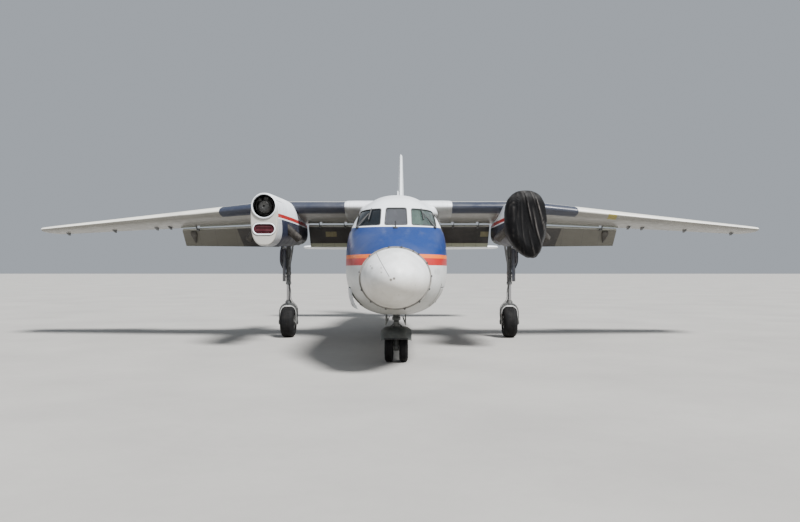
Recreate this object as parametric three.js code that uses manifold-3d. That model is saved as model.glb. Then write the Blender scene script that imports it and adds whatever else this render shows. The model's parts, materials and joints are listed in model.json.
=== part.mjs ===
// A twin-turboprop commuter airliner with a high wing, parked on its wheels.
// Millimetres, +Z up. The nose points to -Y, the aircraft's left side is +X.
// Stations are distances aft of the nose tip; heights are above the ground.
import * as THREE from 'three';
import { mergeVertices } from 'three/addons/utils/BufferGeometryUtils.js';
import Module from 'manifold-3d';

const wasm = await Module();
wasm.setup();

// Driving dimensions
const LENGTH = 15700;
const HALF_SPAN = 8500;
const TIP_HEIGHT = 5520;
const SEAT_GAP = 0.4;
const RUN_GAP = 6;

// Fuselage sections: station, half width, top, bottom, widest height, power above, power below
const FUSELAGE = [
  [750, 533, 1919, 993, 1456, 2.0, 2.0],
  [1200, 700, 2120, 885, 1500, 2.2, 2.2],
  [1650, 800, 2300, 840, 1560, 2.9, 2.4],
  [2080, 860, 2660, 815, 1640, 2.7, 2.45],
  [2500, 885, 2850, 810, 1700, 2.4, 2.45],
  [3300, 900, 2970, 810, 1730, 2.3, 2.45],
  [9600, 900, 2970, 810, 1730, 2.3, 2.45],
  [10200, 890, 2968, 845, 1760, 2.3, 2.4],
  [11000, 840, 2955, 980, 1840, 2.2, 2.3],
  [12500, 660, 2890, 1360, 2050, 2.1, 2.2],
  [13500, 490, 2820, 1660, 2180, 2.0, 2.1],
  [14500, 280, 2700, 2020, 2330, 2.0, 2.0],
  [15200, 110, 2610, 2320, 2460, 2.0, 2.0],
];
const NOSE_STATIONS = [750, 1200, 1430, 1650, 1860, 2080, 2300, 2600, 3300];
const CABIN_STATIONS = [3300, 4200, 9600, 10200];
const TAIL_STATIONS = [10200, 11000, 11700, 12500, 13500, 14500, 15200];
const RING_POINTS = 32;
const NACELLE_POINTS = 24;
const SKIN = 45;

const RADOME = { length: 750, half: 556, depth: 483, centre: 1455, reach: 1050 };

// Cockpit, bays and the pieces in them
const COCKPIT = { front: 1720, floor: 1360 };
const NOSE_BAY = { half: 170, front: 1440, back: 2330, roof: 1150 };
const LOCKER = { inner: 230, front: 1460, back: 2100, floor: 1000, roof: 1300, proud: 7.4 };
const LOCKER_REST_ANGLE = 20;
// The windscreen's centre pane and left pane, their corners seen from ahead
const FRONT_PANES = [
  [[-195, 2345], [195, 2345], [176, 2650], [-176, 2650]],
  [[256, 2341], [662, 2334], [626, 2612], [246, 2636]],
];
// The side windows of the cockpit, their corners seen from the side
const SIDE_PANES = [
  [[2100, 2230], [2610, 2230], [2610, 2580], [2330, 2580]],
  [[2690, 2230], [3040, 2230], [3010, 2580], [2690, 2580]],
];
const DOOR = { front: 8720, back: 9580, sill: 1050, head: 2400, thick: 45, depth: 250 };

// Wing: span position, leading edge station, leading edge height, chord, thickness, incidence
const WING = [
  [0, 5830, 2990, 2280, 0.155, 6.2],
  [2950, 5830, 2990, 2280, 0.155, 6.2],
  [8100, 6700, 2556, 1185, 0.12, 3.4],
  [8380, 6770, 2536, 1060, 0.11, 3.4],
  [8500, 7030, 2545, 700, 0.06, 3.4],
];
const WING_CAMBER = 0.015;
const WING_JOINT = 2950;
const CHORD_STEPS = [0, 0.012, 0.05, 0.13, 0.28, 0.5, 0.75, 1];
const FLAP = { start: 0.72, lipEnd: 0.8, lip: 18, slot: 45, nose: 55, ahead: 60, below: 180 };
const FLAP_REST_ANGLE = 50;
// Flaps: name, inner end, outer end, bracket places
const FLAPS = [
  ['inner', 1000, 2200, [1300, 1900]],
  ['outer', 3000, 5300, [3500, 4880]],
];
const AILERON = { inner: 5360, outer: 8080, hinge: 0.74 };

// Tailplane: span position, leading edge station, height, chord, thickness, incidence
const TAILPLANE = [
  [0, 13180, 2330, 1700, 0.11, 0],
  [3000, 13560, 2330, 1080, 0.1, 0],
  [3130, 13640, 2330, 940, 0.09, 0],
  [3180, 13780, 2330, 700, 0.05, 0],
];
const ELEVATOR = { inner: 400, outer: 2990, hinge: 0.66 };

// Fin: height, leading edge station, trailing edge station, thickness
const FIN = [
  [2560, 10700, 15400, 0.045],
  [3000, 11100, 15445, 0.05],
  [3330, 12420, 15478, 0.075],
  [3600, 12960, 15505, 0.085],
  [5300, 14330, 15680, 0.09],
  [5450, 14490, 15700, 0.085],
  [TIP_HEIGHT, 14780, 15640, 0.04],
];
const RUDDER = {
  bottom: 2790,
  top: 5260,
  hingeBottom: 14520,
  hingeTop: 15060,
  lowGap: 8,
  highGap: 26,
};
const HINGE_NOSE = { steps: 6, clear: 8, lipAngle: 52, deep: 400, past: 60 };
const PIN = { radius: 6, sides: 8, deep: 13 };

// Nacelle sections: station, half width, top, bottom, widest height, power above, power below
const NACELLE_X = 2600;
const NACELLE = [
  [3850, 262, 3086, 2062, 2640, 2.5, 2.8],
  [4100, 296, 3092, 2050, 2560, 2.6, 2.7],
  [4600, 324, 3100, 2060, 2520, 2.7, 2.7],
  [5250, 352, 3112, 2085, 2520, 2.7, 2.8],
  [5800, 362, 3120, 2100, 2520, 2.7, 2.8],
  [6200, 364, 3110, 2112, 2520, 2.7, 2.8],
  [6600, 368, 3010, 2120, 2500, 2.7, 2.8],
  [7400, 374, 2880, 2150, 2480, 2.7, 2.8],
  [8100, 300, 2800, 2250, 2500, 2.5, 2.5],
  [8700, 180, 2745, 2400, 2560, 2.2, 2.2],
  [9100, 70, 2690, 2510, 2590, 2.0, 2.0],
];
const COWL_STATIONS = [3850, 3960, 4100, 4600, 5250];
const NACELLE_STATIONS = [5250, 5800, 6200, 6600, 7400, 8100, 8700, 9100];
const COWL_SKIN = 32;
const SHAFT_HEIGHT = 2829;
const RING = { radius: 222, rim: 246, front: 3815 };
const INTAKE = { height: 2380, half: 212, tall: 210 };
const EXHAUST = { radius: 84, bore: 68, from: [110, 4640, 2640], to: [520, 4990, 2230] };
const WELL = { half: 220, front: 6640, back: 7760, roof: 2450 };

// Wing root fairing sections, in the same columns as the nacelle
const FAIRING = [
  [5000, 300, 2980, 2700, 2850, 2.2, 2.0],
  [5350, 620, 3050, 2600, 2830, 2.4, 1.6],
  [5830, 860, 3125, 2480, 2800, 2.6, 1.5],
  [6600, 930, 3148, 2440, 2790, 2.6, 1.5],
  [7350, 930, 3125, 2440, 2770, 2.6, 1.5],
  [8110, 900, 3070, 2460, 2740, 2.5, 1.5],
  [8700, 640, 3010, 2560, 2740, 2.3, 1.8],
  [9150, 340, 2960, 2700, 2800, 2.2, 2.0],
];
// The glove round the front of the wing root: half width, last station, how proud it stands
const GLOVE = { half: 1190, back: 7330, proud: 16 };

// Landing gear
const MAIN = { x: 2600, station: 6950, radius: 360, width: 320, rim: 190, leg: 50 };
// The fork over the main tyre: an arch, seen from ahead
const FORK = { half: 216, thick: 36, shoulder: 560, top: 813, deep: 48, power: 2.3 };
const WHEEL_SIDES = 24;
const MAIN_DOOR = {
  hinge: 220,
  pivot: 2145,
  front: 7110,
  back: 7730,
  thick: 26,
  angle: 92,
  corner: 2273,
  lugAt: [7190, 7560],
  lug: { thick: 12, top: 115 },
};
const NOSE = { station: 2200, radius: 250, width: 150, offset: 125, rim: 130, leg: 77 };
const NOSE_DOOR = { front: 1460, back: 2085, drop: 152, thick: 18 };
const GUARD = { inner: 338, outer: 352, half: 260, start: 28, sweep: 124 };

// Fabric cover: station, centre x, half width, top, bottom, widest height, powers
const COVER = [
  [3610, 2505, 250, 3000, 2000, 2620, 2.2, 1.9],
  [3650, 2490, 345, 3070, 1890, 2600, 2.4, 1.8],
  [3740, 2480, 405, 3118, 1815, 2560, 2.5, 1.7],
  [3950, 2500, 425, 3136, 1795, 2520, 2.6, 1.7],
  [4300, 2555, 428, 3150, 1800, 2480, 2.7, 1.8],
  [4620, 2590, 420, 3152, 1870, 2460, 2.7, 2.0],
];
const COVER_CLEAR = 9;

const FINISHES = {
  white: [0xe9ecef, 0.35, 0.1],
  wing: [0xd9d6cc, 0.4, 0.1],
  blue: [0x2c5ca8, 0.35, 0.1],
  navy: [0x1f2a44, 0.4, 0.1],
  grey: [0x8d9094, 0.5, 0.5],
  dark: [0x3a3c40, 0.7, 0.2],
  steel: [0x9a9da1, 0.35, 0.8],
  red: [0x8c1f26, 0.6, 0.0],
  tyre: [0x1c1c1d, 0.9, 0.0],
  glass: [0x2d3a3a, 0.1, 0.0],
  fabric: [0x202124, 0.9, 0.0],
};

const finish = (name) => {
  const [color, roughness, metalness] = FINISHES[name];
  return new THREE.MeshStandardMaterial({ color, roughness, metalness });
};

const toY = (station) => station - LENGTH / 2;
const point = (x, station, z) => new THREE.Vector3(x, toY(station), z);
const radians = THREE.MathUtils.degToRad;

// A closed three.js geometry becomes a solid that can be joined and cut
function solidOf(geometry) {
  const bare = geometry.clone();
  bare.deleteAttribute('normal');
  bare.deleteAttribute('uv');
  const merged = mergeVertices(bare, 1e-3);
  const index = merged.index.array;
  const corners = [];
  for (let i = 0; i < index.length; i += 3) {
    const [a, b, c] = [index[i], index[i + 1], index[i + 2]];
    if (a !== b && b !== c && a !== c) corners.push(a, b, c);
  }
  const mesh = new wasm.Mesh({
    numProp: 3,
    vertProperties: Float32Array.from(merged.attributes.position.array),
    triVerts: Uint32Array.from(corners),
  });
  return new wasm.Manifold(mesh);
}

function geometryOf(solid) {
  const mesh = solid.getMesh();
  const geometry = new THREE.BufferGeometry();
  geometry.setAttribute('position', new THREE.BufferAttribute(mesh.vertProperties, 3));
  geometry.setIndex(new THREE.BufferAttribute(mesh.triVerts, 1));
  geometry.computeVertexNormals();
  return geometry;
}

const join = (...solids) => solids.reduce((whole, next) => whole.add(next));
const cut = (body, ...tools) => tools.reduce((left, tool) => left.subtract(tool), body);
const mirrored = (solid) => solid.mirror([1, 0, 0]);

// The rings, all with the same number of points, are skinned and capped at both ends
function loft(rings) {
  const count = rings[0].length;
  const positions = rings.flat().flatMap((p) => [p.x, p.y, p.z]);
  const index = [];
  for (let r = 0; r + 1 < rings.length; r += 1) {
    for (let i = 0; i < count; i += 1) {
      const j = (i + 1) % count;
      const [a, b] = [r * count + i, r * count + j];
      index.push(a, b, b + count, a, b + count, a + count);
    }
  }
  for (const r of [0, rings.length - 1]) {
    const faces = capFaces(rings[r]);
    for (const [a, b, c] of faces) {
      const corner = r === 0 ? [c, b, a] : [a, b, c];
      index.push(...corner.map((k) => k + r * count));
    }
  }
  const geometry = new THREE.BufferGeometry();
  geometry.setAttribute('position', new THREE.Float32BufferAttribute(positions, 3));
  geometry.setIndex(index);
  let solid = solidOf(geometry);
  if (solid.volume() < 0) {
    for (let i = 0; i < index.length; i += 3) {
      [index[i], index[i + 1]] = [index[i + 1], index[i]];
    }
    geometry.setIndex(index);
    solid = solidOf(geometry);
  }
  return solid;
}

// Triangles of an end cap, in the same turning sense as the ring
function capFaces(ring) {
  const normal = new THREE.Vector3();
  ring.forEach((p, i) => {
    const q = ring[(i + 1) % ring.length];
    normal.x += (p.y - q.y) * (p.z + q.z);
    normal.y += (p.z - q.z) * (p.x + q.x);
    normal.z += (p.x - q.x) * (p.y + q.y);
  });
  const size = normal.toArray().map(Math.abs);
  const axis = size.indexOf(Math.max(...size));
  const [u, v] = [[1, 2], [2, 0], [0, 1]][axis];
  const sign = Math.sign(normal.getComponent(axis)) || 1;
  const flat = ring.map((p) => new THREE.Vector2(p.getComponent(u) * sign, p.getComponent(v)));
  if (size[axis] < 1e-6) return [];
  return THREE.ShapeUtils.triangulateShape(flat, []);
}

// A row of the table at any station, smooth between the rows and never past them
function sample(table, station) {
  const last = table.length - 1;
  let k = table.findIndex((row, i) => i < last && station <= table[i + 1][0]);
  if (k < 0) k = last - 1;
  const [a, b] = [table[k], table[k + 1]];
  const step = b[0] - a[0];
  const t = (station - a[0]) / step;
  const slope = (i, c) => {
    if (i <= 0 || i >= last) return null;
    const before = (table[i][c] - table[i - 1][c]) / (table[i][0] - table[i - 1][0]);
    const after = (table[i + 1][c] - table[i][c]) / (table[i + 1][0] - table[i][0]);
    return before * after <= 0 ? 0 : (2 * before * after) / (before + after);
  };
  return a.map((value, c) => {
    if (c === 0) return station;
    const straight = (b[c] - value) / step;
    const m0 = slope(k, c) ?? straight;
    const m1 = slope(k + 1, c) ?? straight;
    const [t2, t3] = [t * t, t * t * t];
    return (2 * t3 - 3 * t2 + 1) * value + (t3 - 2 * t2 + t) * step * m0
      + (3 * t2 - 2 * t3) * b[c] + (t3 - t2) * step * m1;
  });
}

// One oval ring: a superellipse with its own height and power above and below its widest line
function oval(station, centre, half, top, bottom, wide, powerUp, powerDown, count = RING_POINTS) {
  const ring = [];
  for (let i = 0; i < count; i += 1) {
    const angle = (2 * Math.PI * i) / count;
    const [c, s] = [Math.cos(angle), Math.sin(angle)];
    const power = 2 / (s >= 0 ? powerUp : powerDown);
    const height = s >= 0 ? top - wide : wide - bottom;
    const x = Math.sign(c) * Math.abs(c) ** power * half;
    const z = Math.sign(s) * Math.abs(s) ** power * height;
    ring.push(point(centre + x, station, wide + z));
  }
  return ring;
}

// A body of oval sections; a positive inset makes it smaller all round
function hull(table, stations, inset = 0, centre = 0, count = RING_POINTS) {
  return loft(stations.map((station) => {
    const [, half, top, bottom, wide, up, down] = sample(table, station);
    return oval(station, centre, half - inset, top - inset, bottom + inset, wide, up, down, count);
  }));
}

// The half width of the fuselage at a station and a height
function sideAt(station, z) {
  const [, half, top, bottom, wide, up, down] = sample(FUSELAGE, station);
  const [height, power] = z >= wide ? [top - wide, up] : [wide - bottom, down];
  return half * (1 - (Math.abs(z - wide) / height) ** power) ** (1 / power);
}

const box = (x0, x1, s0, s1, z0, z1) => {
  const geometry = new THREE.BoxGeometry(x1 - x0, s1 - s0, z1 - z0);
  geometry.translate((x0 + x1) / 2, toY((s0 + s1) / 2), (z0 + z1) / 2);
  return solidOf(geometry);
};

// A round bar between two points, or a cone where the second radius differs
function bar(from, to, radius, radiusTo = radius, sides = 16) {
  const along = to.clone().sub(from);
  const geometry = new THREE.CylinderGeometry(radiusTo, radius, along.length(), sides);
  const turn = new THREE.Quaternion().setFromUnitVectors(
    new THREE.Vector3(0, 1, 0), along.clone().normalize());
  geometry.applyQuaternion(turn);
  const middle = from.clone().add(to).multiplyScalar(0.5);
  geometry.translate(middle.x, middle.y, middle.z);
  return solidOf(geometry);
}

// A flat outline of [station, height] pairs, extruded across from x0 to x1
function sidePlate(outline, x0, x1) {
  const ring = (x) => outline.map(([station, z]) => point(x, station, z));
  return loft([ring(x0), ring(x1)]);
}

// A flat outline of [x, height] pairs, extruded from one station to another
function frontPlate(outline, s0, s1) {
  const ring = (station) => outline.map(([x, z]) => point(x, station, z));
  return loft([ring(s0), ring(s1)]);
}

// A profile of [radius, distance along] pairs turned about a line that points along x or y
function turned(profile, centre, axis, sides) {
  const outline = profile.map(([r, d]) => new THREE.Vector2(r, d));
  const geometry = new THREE.LatheGeometry([...outline, outline[0]], sides);
  if (axis === 'x') geometry.rotateZ(-Math.PI / 2);
  geometry.translate(centre.x, centre.y, centre.z);
  return solidOf(geometry);
}

// A solid turned by an angle, in degrees, about a line
function turnedAbout(solid, origin, axis, angle) {
  const matrix = new THREE.Matrix4().makeTranslation(origin.x, origin.y, origin.z);
  matrix.multiply(new THREE.Matrix4().makeRotationAxis(axis, radians(angle)));
  matrix.multiply(new THREE.Matrix4().makeTranslation(-origin.x, -origin.y, -origin.z));
  return solid.transform(matrix.elements);
}

const aircraft = new THREE.Group();

function add(name, solid, finishName, hinge = null) {
  const mesh = new THREE.Mesh(geometryOf(solid), finish(finishName));
  mesh.name = name;
  if (hinge) mesh.userData.hinge = hinge;
  aircraft.add(mesh);
}

// The same piece on both sides: the left is +X, the right its mirror image
function addPair(name, leftSolid, finishName, hinge = null) {
  const flip = new THREE.Vector3(-1, 1, 1);
  add(`${name}_left`, leftSolid, finishName, hinge);
  const rightHinge = hinge && {
    origin: hinge.origin.clone().multiply(flip),
    axis: hinge.axis.clone().multiply(new THREE.Vector3(1, -1, -1)),
  };
  add(`${name}_right`, mirrored(leftSolid), finishName, rightHinge);
}

// Flying surfaces

// A table row at any span position, straight between the rows
function rowAt(table, x) {
  let k = table.findIndex((row, i) => i + 1 < table.length && x <= table[i + 1][0]);
  if (k < 0) k = table.length - 2;
  const [a, b] = [table[k], table[k + 1]];
  const t = (x - a[0]) / (b[0] - a[0]);
  return a.map((value, c) => value + (b[c] - value) * t);
}

// Half thickness of the section as a share of its chord
const halfThick = (ratio, u) => 5 * ratio
  * (0.2969 * Math.sqrt(u) - 0.126 * u - 0.3516 * u ** 2 + 0.2843 * u ** 3 - 0.1036 * u ** 4);

// A place on a surface: along its chord from the leading edge, and off the chord line
function chordPoint(row, along, off) {
  const [x, lead, height, , , incidence] = row;
  const [c, s] = [Math.cos(radians(incidence)), Math.sin(radians(incidence))];
  return point(x, lead + along * c + off * s, height - along * s + off * c);
}

const TRAILING_EDGE = 4;
const camberAt = (camber, chord, u) => 4 * camber * chord * u * (1 - u);
const upperAt = (row, camber, u) => camberAt(camber, row[3], u)
  + halfThick(row[4], u) * row[3] + TRAILING_EDGE * u;
const lowerAt = (row, camber, u) => camberAt(camber, row[3], u)
  - halfThick(row[4], u) * row[3] - TRAILING_EDGE * u;

function sectionRing(row, camber, grow = 0) {
  const chord = row[3];
  const place = (u) => u * (chord + 2 * grow) - grow;
  const upper = [...CHORD_STEPS].reverse()
    .map((u) => chordPoint(row, place(u), upperAt(row, camber, u) + (u > 0 ? grow : 0)));
  const lower = CHORD_STEPS.slice(1)
    .map((u) => chordPoint(row, place(u), lowerAt(row, camber, u) - grow));
  return [...upper, ...lower];
}

// The surface between span positions, through the table's own rows that lie between them
function surface(table, camber, from, to, grow = 0) {
  const inside = table.map((row) => row[0]).filter((x) => x > from + 1 && x < to - 1);
  const places = [from, ...inside, to];
  return loft(places.map((x) => sectionRing(rowAt(table, x), camber, grow)));
}

// One ring of a surface that hinges at a share of its chord, or of the cut made for it.
// The piece has a half-round nose about its hinge line; the cut leaves two lips ahead of it.
function hingedRing(row, camber, share, cutter) {
  const { steps, clear, lipAngle, deep, past } = HINGE_NOSE;
  const chord = row[3];
  const middle = camberAt(camber, chord, share);
  const radius = halfThick(row[4], share) * chord + TRAILING_EDGE * share;
  const nose = radius + (cutter ? clear : -SEAT_GAP);
  const reach = radians(cutter ? lipAngle : 90);
  const arc = [];
  for (let i = 0; i <= steps; i += 1) {
    const angle = Math.PI - reach + (2 * reach * i) / steps;
    arc.push([share * chord + nose * Math.cos(angle), middle + nose * Math.sin(angle)]);
  }
  const rear = cutter
    ? [[arc[steps][0], -deep], [chord + past, -deep], [chord + past, deep], [arc[0][0], deep]]
    : [[chord, lowerAt(row, camber, 1)], [chord, upperAt(row, camber, 1)]];
  return [...arc, ...rear].map(([along, off]) => chordPoint(row, along, off));
}

// A hinge pin from a fixed piece to the end face of a moving one, which it all but touches.
// The end face may lean against the hinge line; its normal is given.
function hingePin(end, axis, gap, faceNormal) {
  const lean = Math.sqrt(1 / axis.dot(faceNormal) ** 2 - 1);
  const side = Math.sign(gap);
  return bar(end.clone().addScaledVector(axis, gap + side * PIN.deep),
    end.clone().addScaledVector(axis, side * (PIN.radius * lean + SEAT_GAP)),
    PIN.radius, PIN.radius, PIN.sides);
}

// A moving surface on a hinge: its own solid, the cut it needs, and its hinge line
function movingSurface(table, camber, spec, gap) {
  const { inner, outer, hinge } = spec;
  const ring = (x, cutter) => hingedRing(rowAt(table, x), camber, hinge, cutter);
  const lineEnd = (x) => {
    const row = rowAt(table, x);
    return chordPoint(row, hinge * row[3], camberAt(camber, row[3], hinge));
  };
  const [from, to] = [lineEnd(inner), lineEnd(outer)];
  const axis = from.clone().sub(to).normalize();
  const body = loft([ring(inner, false), ring(outer, false)]);
  const cutter = loft([ring(inner - gap, true), ring(outer + gap, true)]);
  const across = new THREE.Vector3(1, 0, 0);
  const pins = join(hingePin(from, axis, gap, across), hingePin(to, axis, -gap, across));
  return { body, cutter, pins, hinge: { origin: from.clone().add(to).multiplyScalar(0.5), axis } };
}

// A flap, drawn retracted in its share of the wing, then turned down about its pivot line
function wingFlap([, inner, outer, brackets]) {
  const endGap = 15;
  const scaleAt = (row) => row[3] / WING[0][3];
  const ring = (x) => {
    const row = rowAt(WING, x);
    const [chord, k] = [row[3], scaleAt(row)];
    const upper = (u) => upperAt(row, WING_CAMBER, u);
    const lower = (u) => lowerAt(row, WING_CAMBER, u);
    const start = FLAP.start * chord;
    const nose = FLAP.nose * k;
    const low = lower(FLAP.start + 0.03) + nose;
    const points = [];
    for (let i = 0; i <= 5; i += 1) {
      const angle = radians(105 + 33 * i);
      points.push([start + nose * (1 + Math.cos(angle)), low + nose * Math.sin(angle)]);
    }
    for (const u of [0.85, 1]) points.push([u * chord, lower(u)]);
    for (const u of [1, 0.9, 0.825]) points.push([u * chord, upper(u)]);
    points.push([(FLAP.lipEnd - 0.01) * chord, upper(FLAP.lipEnd) - FLAP.lip - 9]);
    return points.map(([along, off]) => chordPoint(row, along, off));
  };
  const cutRing = (x) => {
    const row = rowAt(WING, x);
    const chord = row[3];
    const front = FLAP.start * chord - FLAP.slot * scaleAt(row);
    const under = (u) => upperAt(row, WING_CAMBER, u) - FLAP.lip;
    const points = [
      [front, -300],
      [front, under(front / chord)],
      [FLAP.lipEnd * chord, under(FLAP.lipEnd)],
      [FLAP.lipEnd * chord, 300],
      [chord + 60, 300],
      [chord + 60, -300],
    ];
    return points.map(([along, off]) => chordPoint(row, along, off));
  };
  const pivotAt = (x) => {
    const row = rowAt(WING, x);
    const k = scaleAt(row);
    const low = lowerAt(row, WING_CAMBER, FLAP.start + 0.03) + FLAP.nose * k;
    return chordPoint(row, FLAP.start * row[3] - FLAP.ahead * k, low - FLAP.below * k);
  };
  const [from, to] = [pivotAt(inner), pivotAt(outer)];
  const axis = from.clone().sub(to).normalize();
  const across = axis.clone().negate();
  const aftward = new THREE.Vector3(0, 1, 0).projectOnPlane(across).normalize();
  const upward = across.clone().cross(aftward);
  let body = loft([ring(inner), ring(outer)]);
  let fixed = null;
  for (const x of brackets) {
    const k = scaleAt(rowAt(WING, x));
    const pivot = from.clone().lerp(to, (x - inner) / (outer - inner));
    const plate = (x0, x1, outline) => {
      const place = (offset) => outline.map(([aft, up]) => pivot.clone().addScaledVector(across, offset)
        .addScaledVector(aftward, aft * k).addScaledVector(upward, up * k));
      return loft([place(x0), place(x1)]);
    };
    const arm = plate(-8, 8, [[-22, -18], [10, -28], [26, -4], [165, 145], [115, 195], [-28, 6]]);
    const bracket = plate(14, 28, [[-24, -20], [0, -32], [24, -20], [30, 10], [10, 190], [-150, 215],
      [-190, 180]]);
    const boss = bar(pivot.clone().addScaledVector(across, 20),
      pivot.clone().addScaledVector(across, 8 + SEAT_GAP), 12);
    const carrier = join(bracket, boss);
    body = join(body, arm);
    fixed = fixed ? join(fixed, carrier) : carrier;
  }
  const cutter = loft([cutRing(inner - endGap), cutRing(outer + endGap)]);
  const lowered = turnedAbout(body, from, axis, FLAP_REST_ANGLE);
  return { body: lowered, cutter, fixed, hinge: { origin: from, axis } };
}

const flaps = FLAPS.map((spec) => ({ name: spec[0], ...wingFlap(spec) }));
const [innerFlap, outerFlap] = flaps;
const aileron = movingSurface(WING, WING_CAMBER, AILERON, RUN_GAP + 4);
const elevator = movingSurface(TAILPLANE, 0, ELEVATOR, RUN_GAP + 4);

// The wing root fairing, larger all round by the given amount
function fairingSolid(grow) {
  const crown = hull(FAIRING, FAIRING.map((row) => row[0]), -grow, 0, NACELLE_POINTS);
  const half = surface(WING, WING_CAMBER, 0, GLOVE.half + grow, GLOVE.proud + grow);
  const front = box(-1, GLOVE.half + grow, 5000, GLOVE.back + grow, 2000, 4000);
  const glove = half.intersect(front);
  return join(crown, glove, mirrored(glove));
}

function buildWing() {
  const half = surface(WING, WING_CAMBER, 0, WING_JOINT);
  const leftHalf = join(cut(half, innerFlap.cutter), innerFlap.fixed);
  const centre = join(leftHalf, mirrored(leftHalf));
  add('wing_center', centre, 'wing');
  const outer = surface(WING, WING_CAMBER, WING_JOINT + SEAT_GAP, HALF_SPAN);
  const trimmed = cut(outer, outerFlap.cutter, aileron.cutter);
  addPair('wing_outer', join(trimmed, outerFlap.fixed, aileron.pins), 'wing');
  for (const flap of flaps) addPair(`flap_${flap.name}`, flap.body, 'dark', flap.hinge);
  addPair('aileron', aileron.body, 'wing', aileron.hinge);
}

const grownWing = () => {
  const half = surface(WING, WING_CAMBER, 0, HALF_SPAN, SEAT_GAP);
  return join(half, mirrored(half));
};

// Fuselage

function radome() {
  const { length, half, depth, centre, reach } = RADOME;
  const rings = [0, 15, 55, 130, 250, 400, 570, length - SEAT_GAP].map((station) => {
    const share = Math.sqrt(1 - ((reach - station) / reach) ** 2);
    const [a, b] = [half * share, depth * share];
    return oval(station, 0, a, centre + b, centre - b, centre, 2, 2);
  });
  return loft(rings);
}

// A pane's outline, its corners cut off at 30 mm, smaller all round by the given amount
function paneOutline(corners, shrink) {
  const points = corners.map(([a, b]) => new THREE.Vector2(a, b));
  const along = points.map((p, i) => points[(i + 1) % 4].clone().sub(p).normalize());
  return points.flatMap((p, i) => {
    const [before, after] = [along[(i + 3) % 4], along[i]];
    const inward = new THREE.Vector2(-before.y - after.y, before.x + after.x);
    const corner = p.clone().addScaledVector(inward, shrink / (1 + before.dot(after)));
    const reach = 30 - shrink * 0.6;
    return [corner.clone().addScaledVector(before, -reach), corner.clone().addScaledVector(after, reach)];
  }).map((p) => p.toArray());
}

function allPanes(shrink) {
  const [centre, left] = FRONT_PANES.map((corners) => frontPlate(paneOutline(corners, shrink), 1300, 2720));
  const sides = SIDE_PANES.map((corners) => sidePlate(paneOutline(corners, shrink), 420, 1200));
  return [centre, left, mirrored(left), ...sides, ...sides.map(mirrored)];
}

// The nose is a shell: cockpit, wheel bay and two lockers are open inside it
function buildNose() {
  const stations = [COCKPIT.front, 1860, 2080, 2300, 2600, 3300];
  const room = cut(
    hull(FUSELAGE, [...stations, 3310], SKIN),
    box(-1000, 1000, 1600, 3400, 700, COCKPIT.floor),
  );
  const bay = box(-NOSE_BAY.half, NOSE_BAY.half, NOSE_BAY.front, NOSE_BAY.back, 700, NOSE_BAY.roof);
  const locker = box(LOCKER.inner, 1000, LOCKER.front, LOCKER.back, LOCKER.floor, LOCKER.roof);
  const shell = hull(FUSELAGE, NOSE_STATIONS);
  const nose = cut(shell, room, bay, locker, mirrored(locker), ...allPanes(0));
  add('radome', radome(), 'white');
  add('fuselage_nose', nose, 'blue');

  const band = box(-1000, 1000, 1700, 3140, 2140, 2700);
  const pane = cut(
    hull(FUSELAGE, stations, SKIN + SEAT_GAP),
    hull(FUSELAGE, [...stations, 3310], SKIN + 14),
  );
  const flush = cut(
    hull(FUSELAGE, [1430, 1650, 1860, 2080, 2300, 2600, 3300], 8),
    hull(FUSELAGE, [...stations, 3310], SKIN + 8),
  );
  const plugs = allPanes(1).map((shape) => flush.intersect(shape));
  add('cockpit_glazing', join(pane.intersect(band), ...plugs), 'glass');
}

function lockerHatch() {
  const gap = RUN_GAP;
  const panel = cut(
    hull(FUSELAGE, NOSE_STATIONS, 0).intersect(box(LOCKER.inner + 100, 1000, LOCKER.front + gap,
      LOCKER.back - gap, LOCKER.floor + gap, LOCKER.roof - SEAT_GAP)),
    hull(FUSELAGE, NOSE_STATIONS, 26),
  );
  const edge = (station) => point(sideAt(station, LOCKER.roof) + LOCKER.proud, station, LOCKER.roof);
  const [front, back] = [edge(LOCKER.front), edge(LOCKER.back)];
  const hinge = { origin: front.clone().add(back).multiplyScalar(0.5), axis: front.sub(back).normalize() };
  add('nose_hatch_left', panel, 'grey', hinge);
  const opened = turnedAbout(panel, hinge.origin, hinge.axis, LOCKER_REST_ANGLE);
  const flip = new THREE.Vector3(-1, 1, 1);
  add('nose_hatch_right', mirrored(opened), 'grey', {
    origin: hinge.origin.clone().multiply(flip),
    axis: hinge.axis.clone().multiply(new THREE.Vector3(1, -1, -1)),
  });
}

function buildCockpit() {
  const floor = COCKPIT.floor + SEAT_GAP;
  const desk = sidePlate([[1950, 1820], [1990, 1700], [2060, 1700], [2140, 2170], [2100, 2215],
    [1930, 2215]], -600, 600);
  const pedestal = box(-130, 130, 1985, 2330, floor, 1800);
  add('cockpit_panel', join(desk, pedestal), 'dark');
  const chair = sidePlate([[2560, floor], [2900, floor], [2900, 1640], [3010, 1700], [3110, 2330],
    [3040, 2350], [2930, 1780], [2510, 1760], [2500, 1640], [2560, 1640]], 150, 590);
  addPair('seat', chair, 'dark');
}

function passengerDoor() {
  const outer = hull(FUSELAGE, CABIN_STATIONS);
  const opening = box(DOOR.depth, 1000, DOOR.front, DOOR.back, DOOR.sill, DOOR.head);
  const leaf = cut(
    outer.intersect(box(DOOR.depth, 1000, DOOR.front + RUN_GAP, DOOR.back - RUN_GAP,
      DOOR.sill + SEAT_GAP, DOOR.head - RUN_GAP)),
    hull(FUSELAGE, CABIN_STATIONS, DOOR.thick),
  );
  const origin = point(sideAt(9000, DOOR.sill) + 6, (DOOR.front + DOOR.back) / 2, DOOR.sill);
  add('passenger_door', leaf, 'white', { origin, axis: new THREE.Vector3(0, 1, 0) });
  return opening;
}

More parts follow.
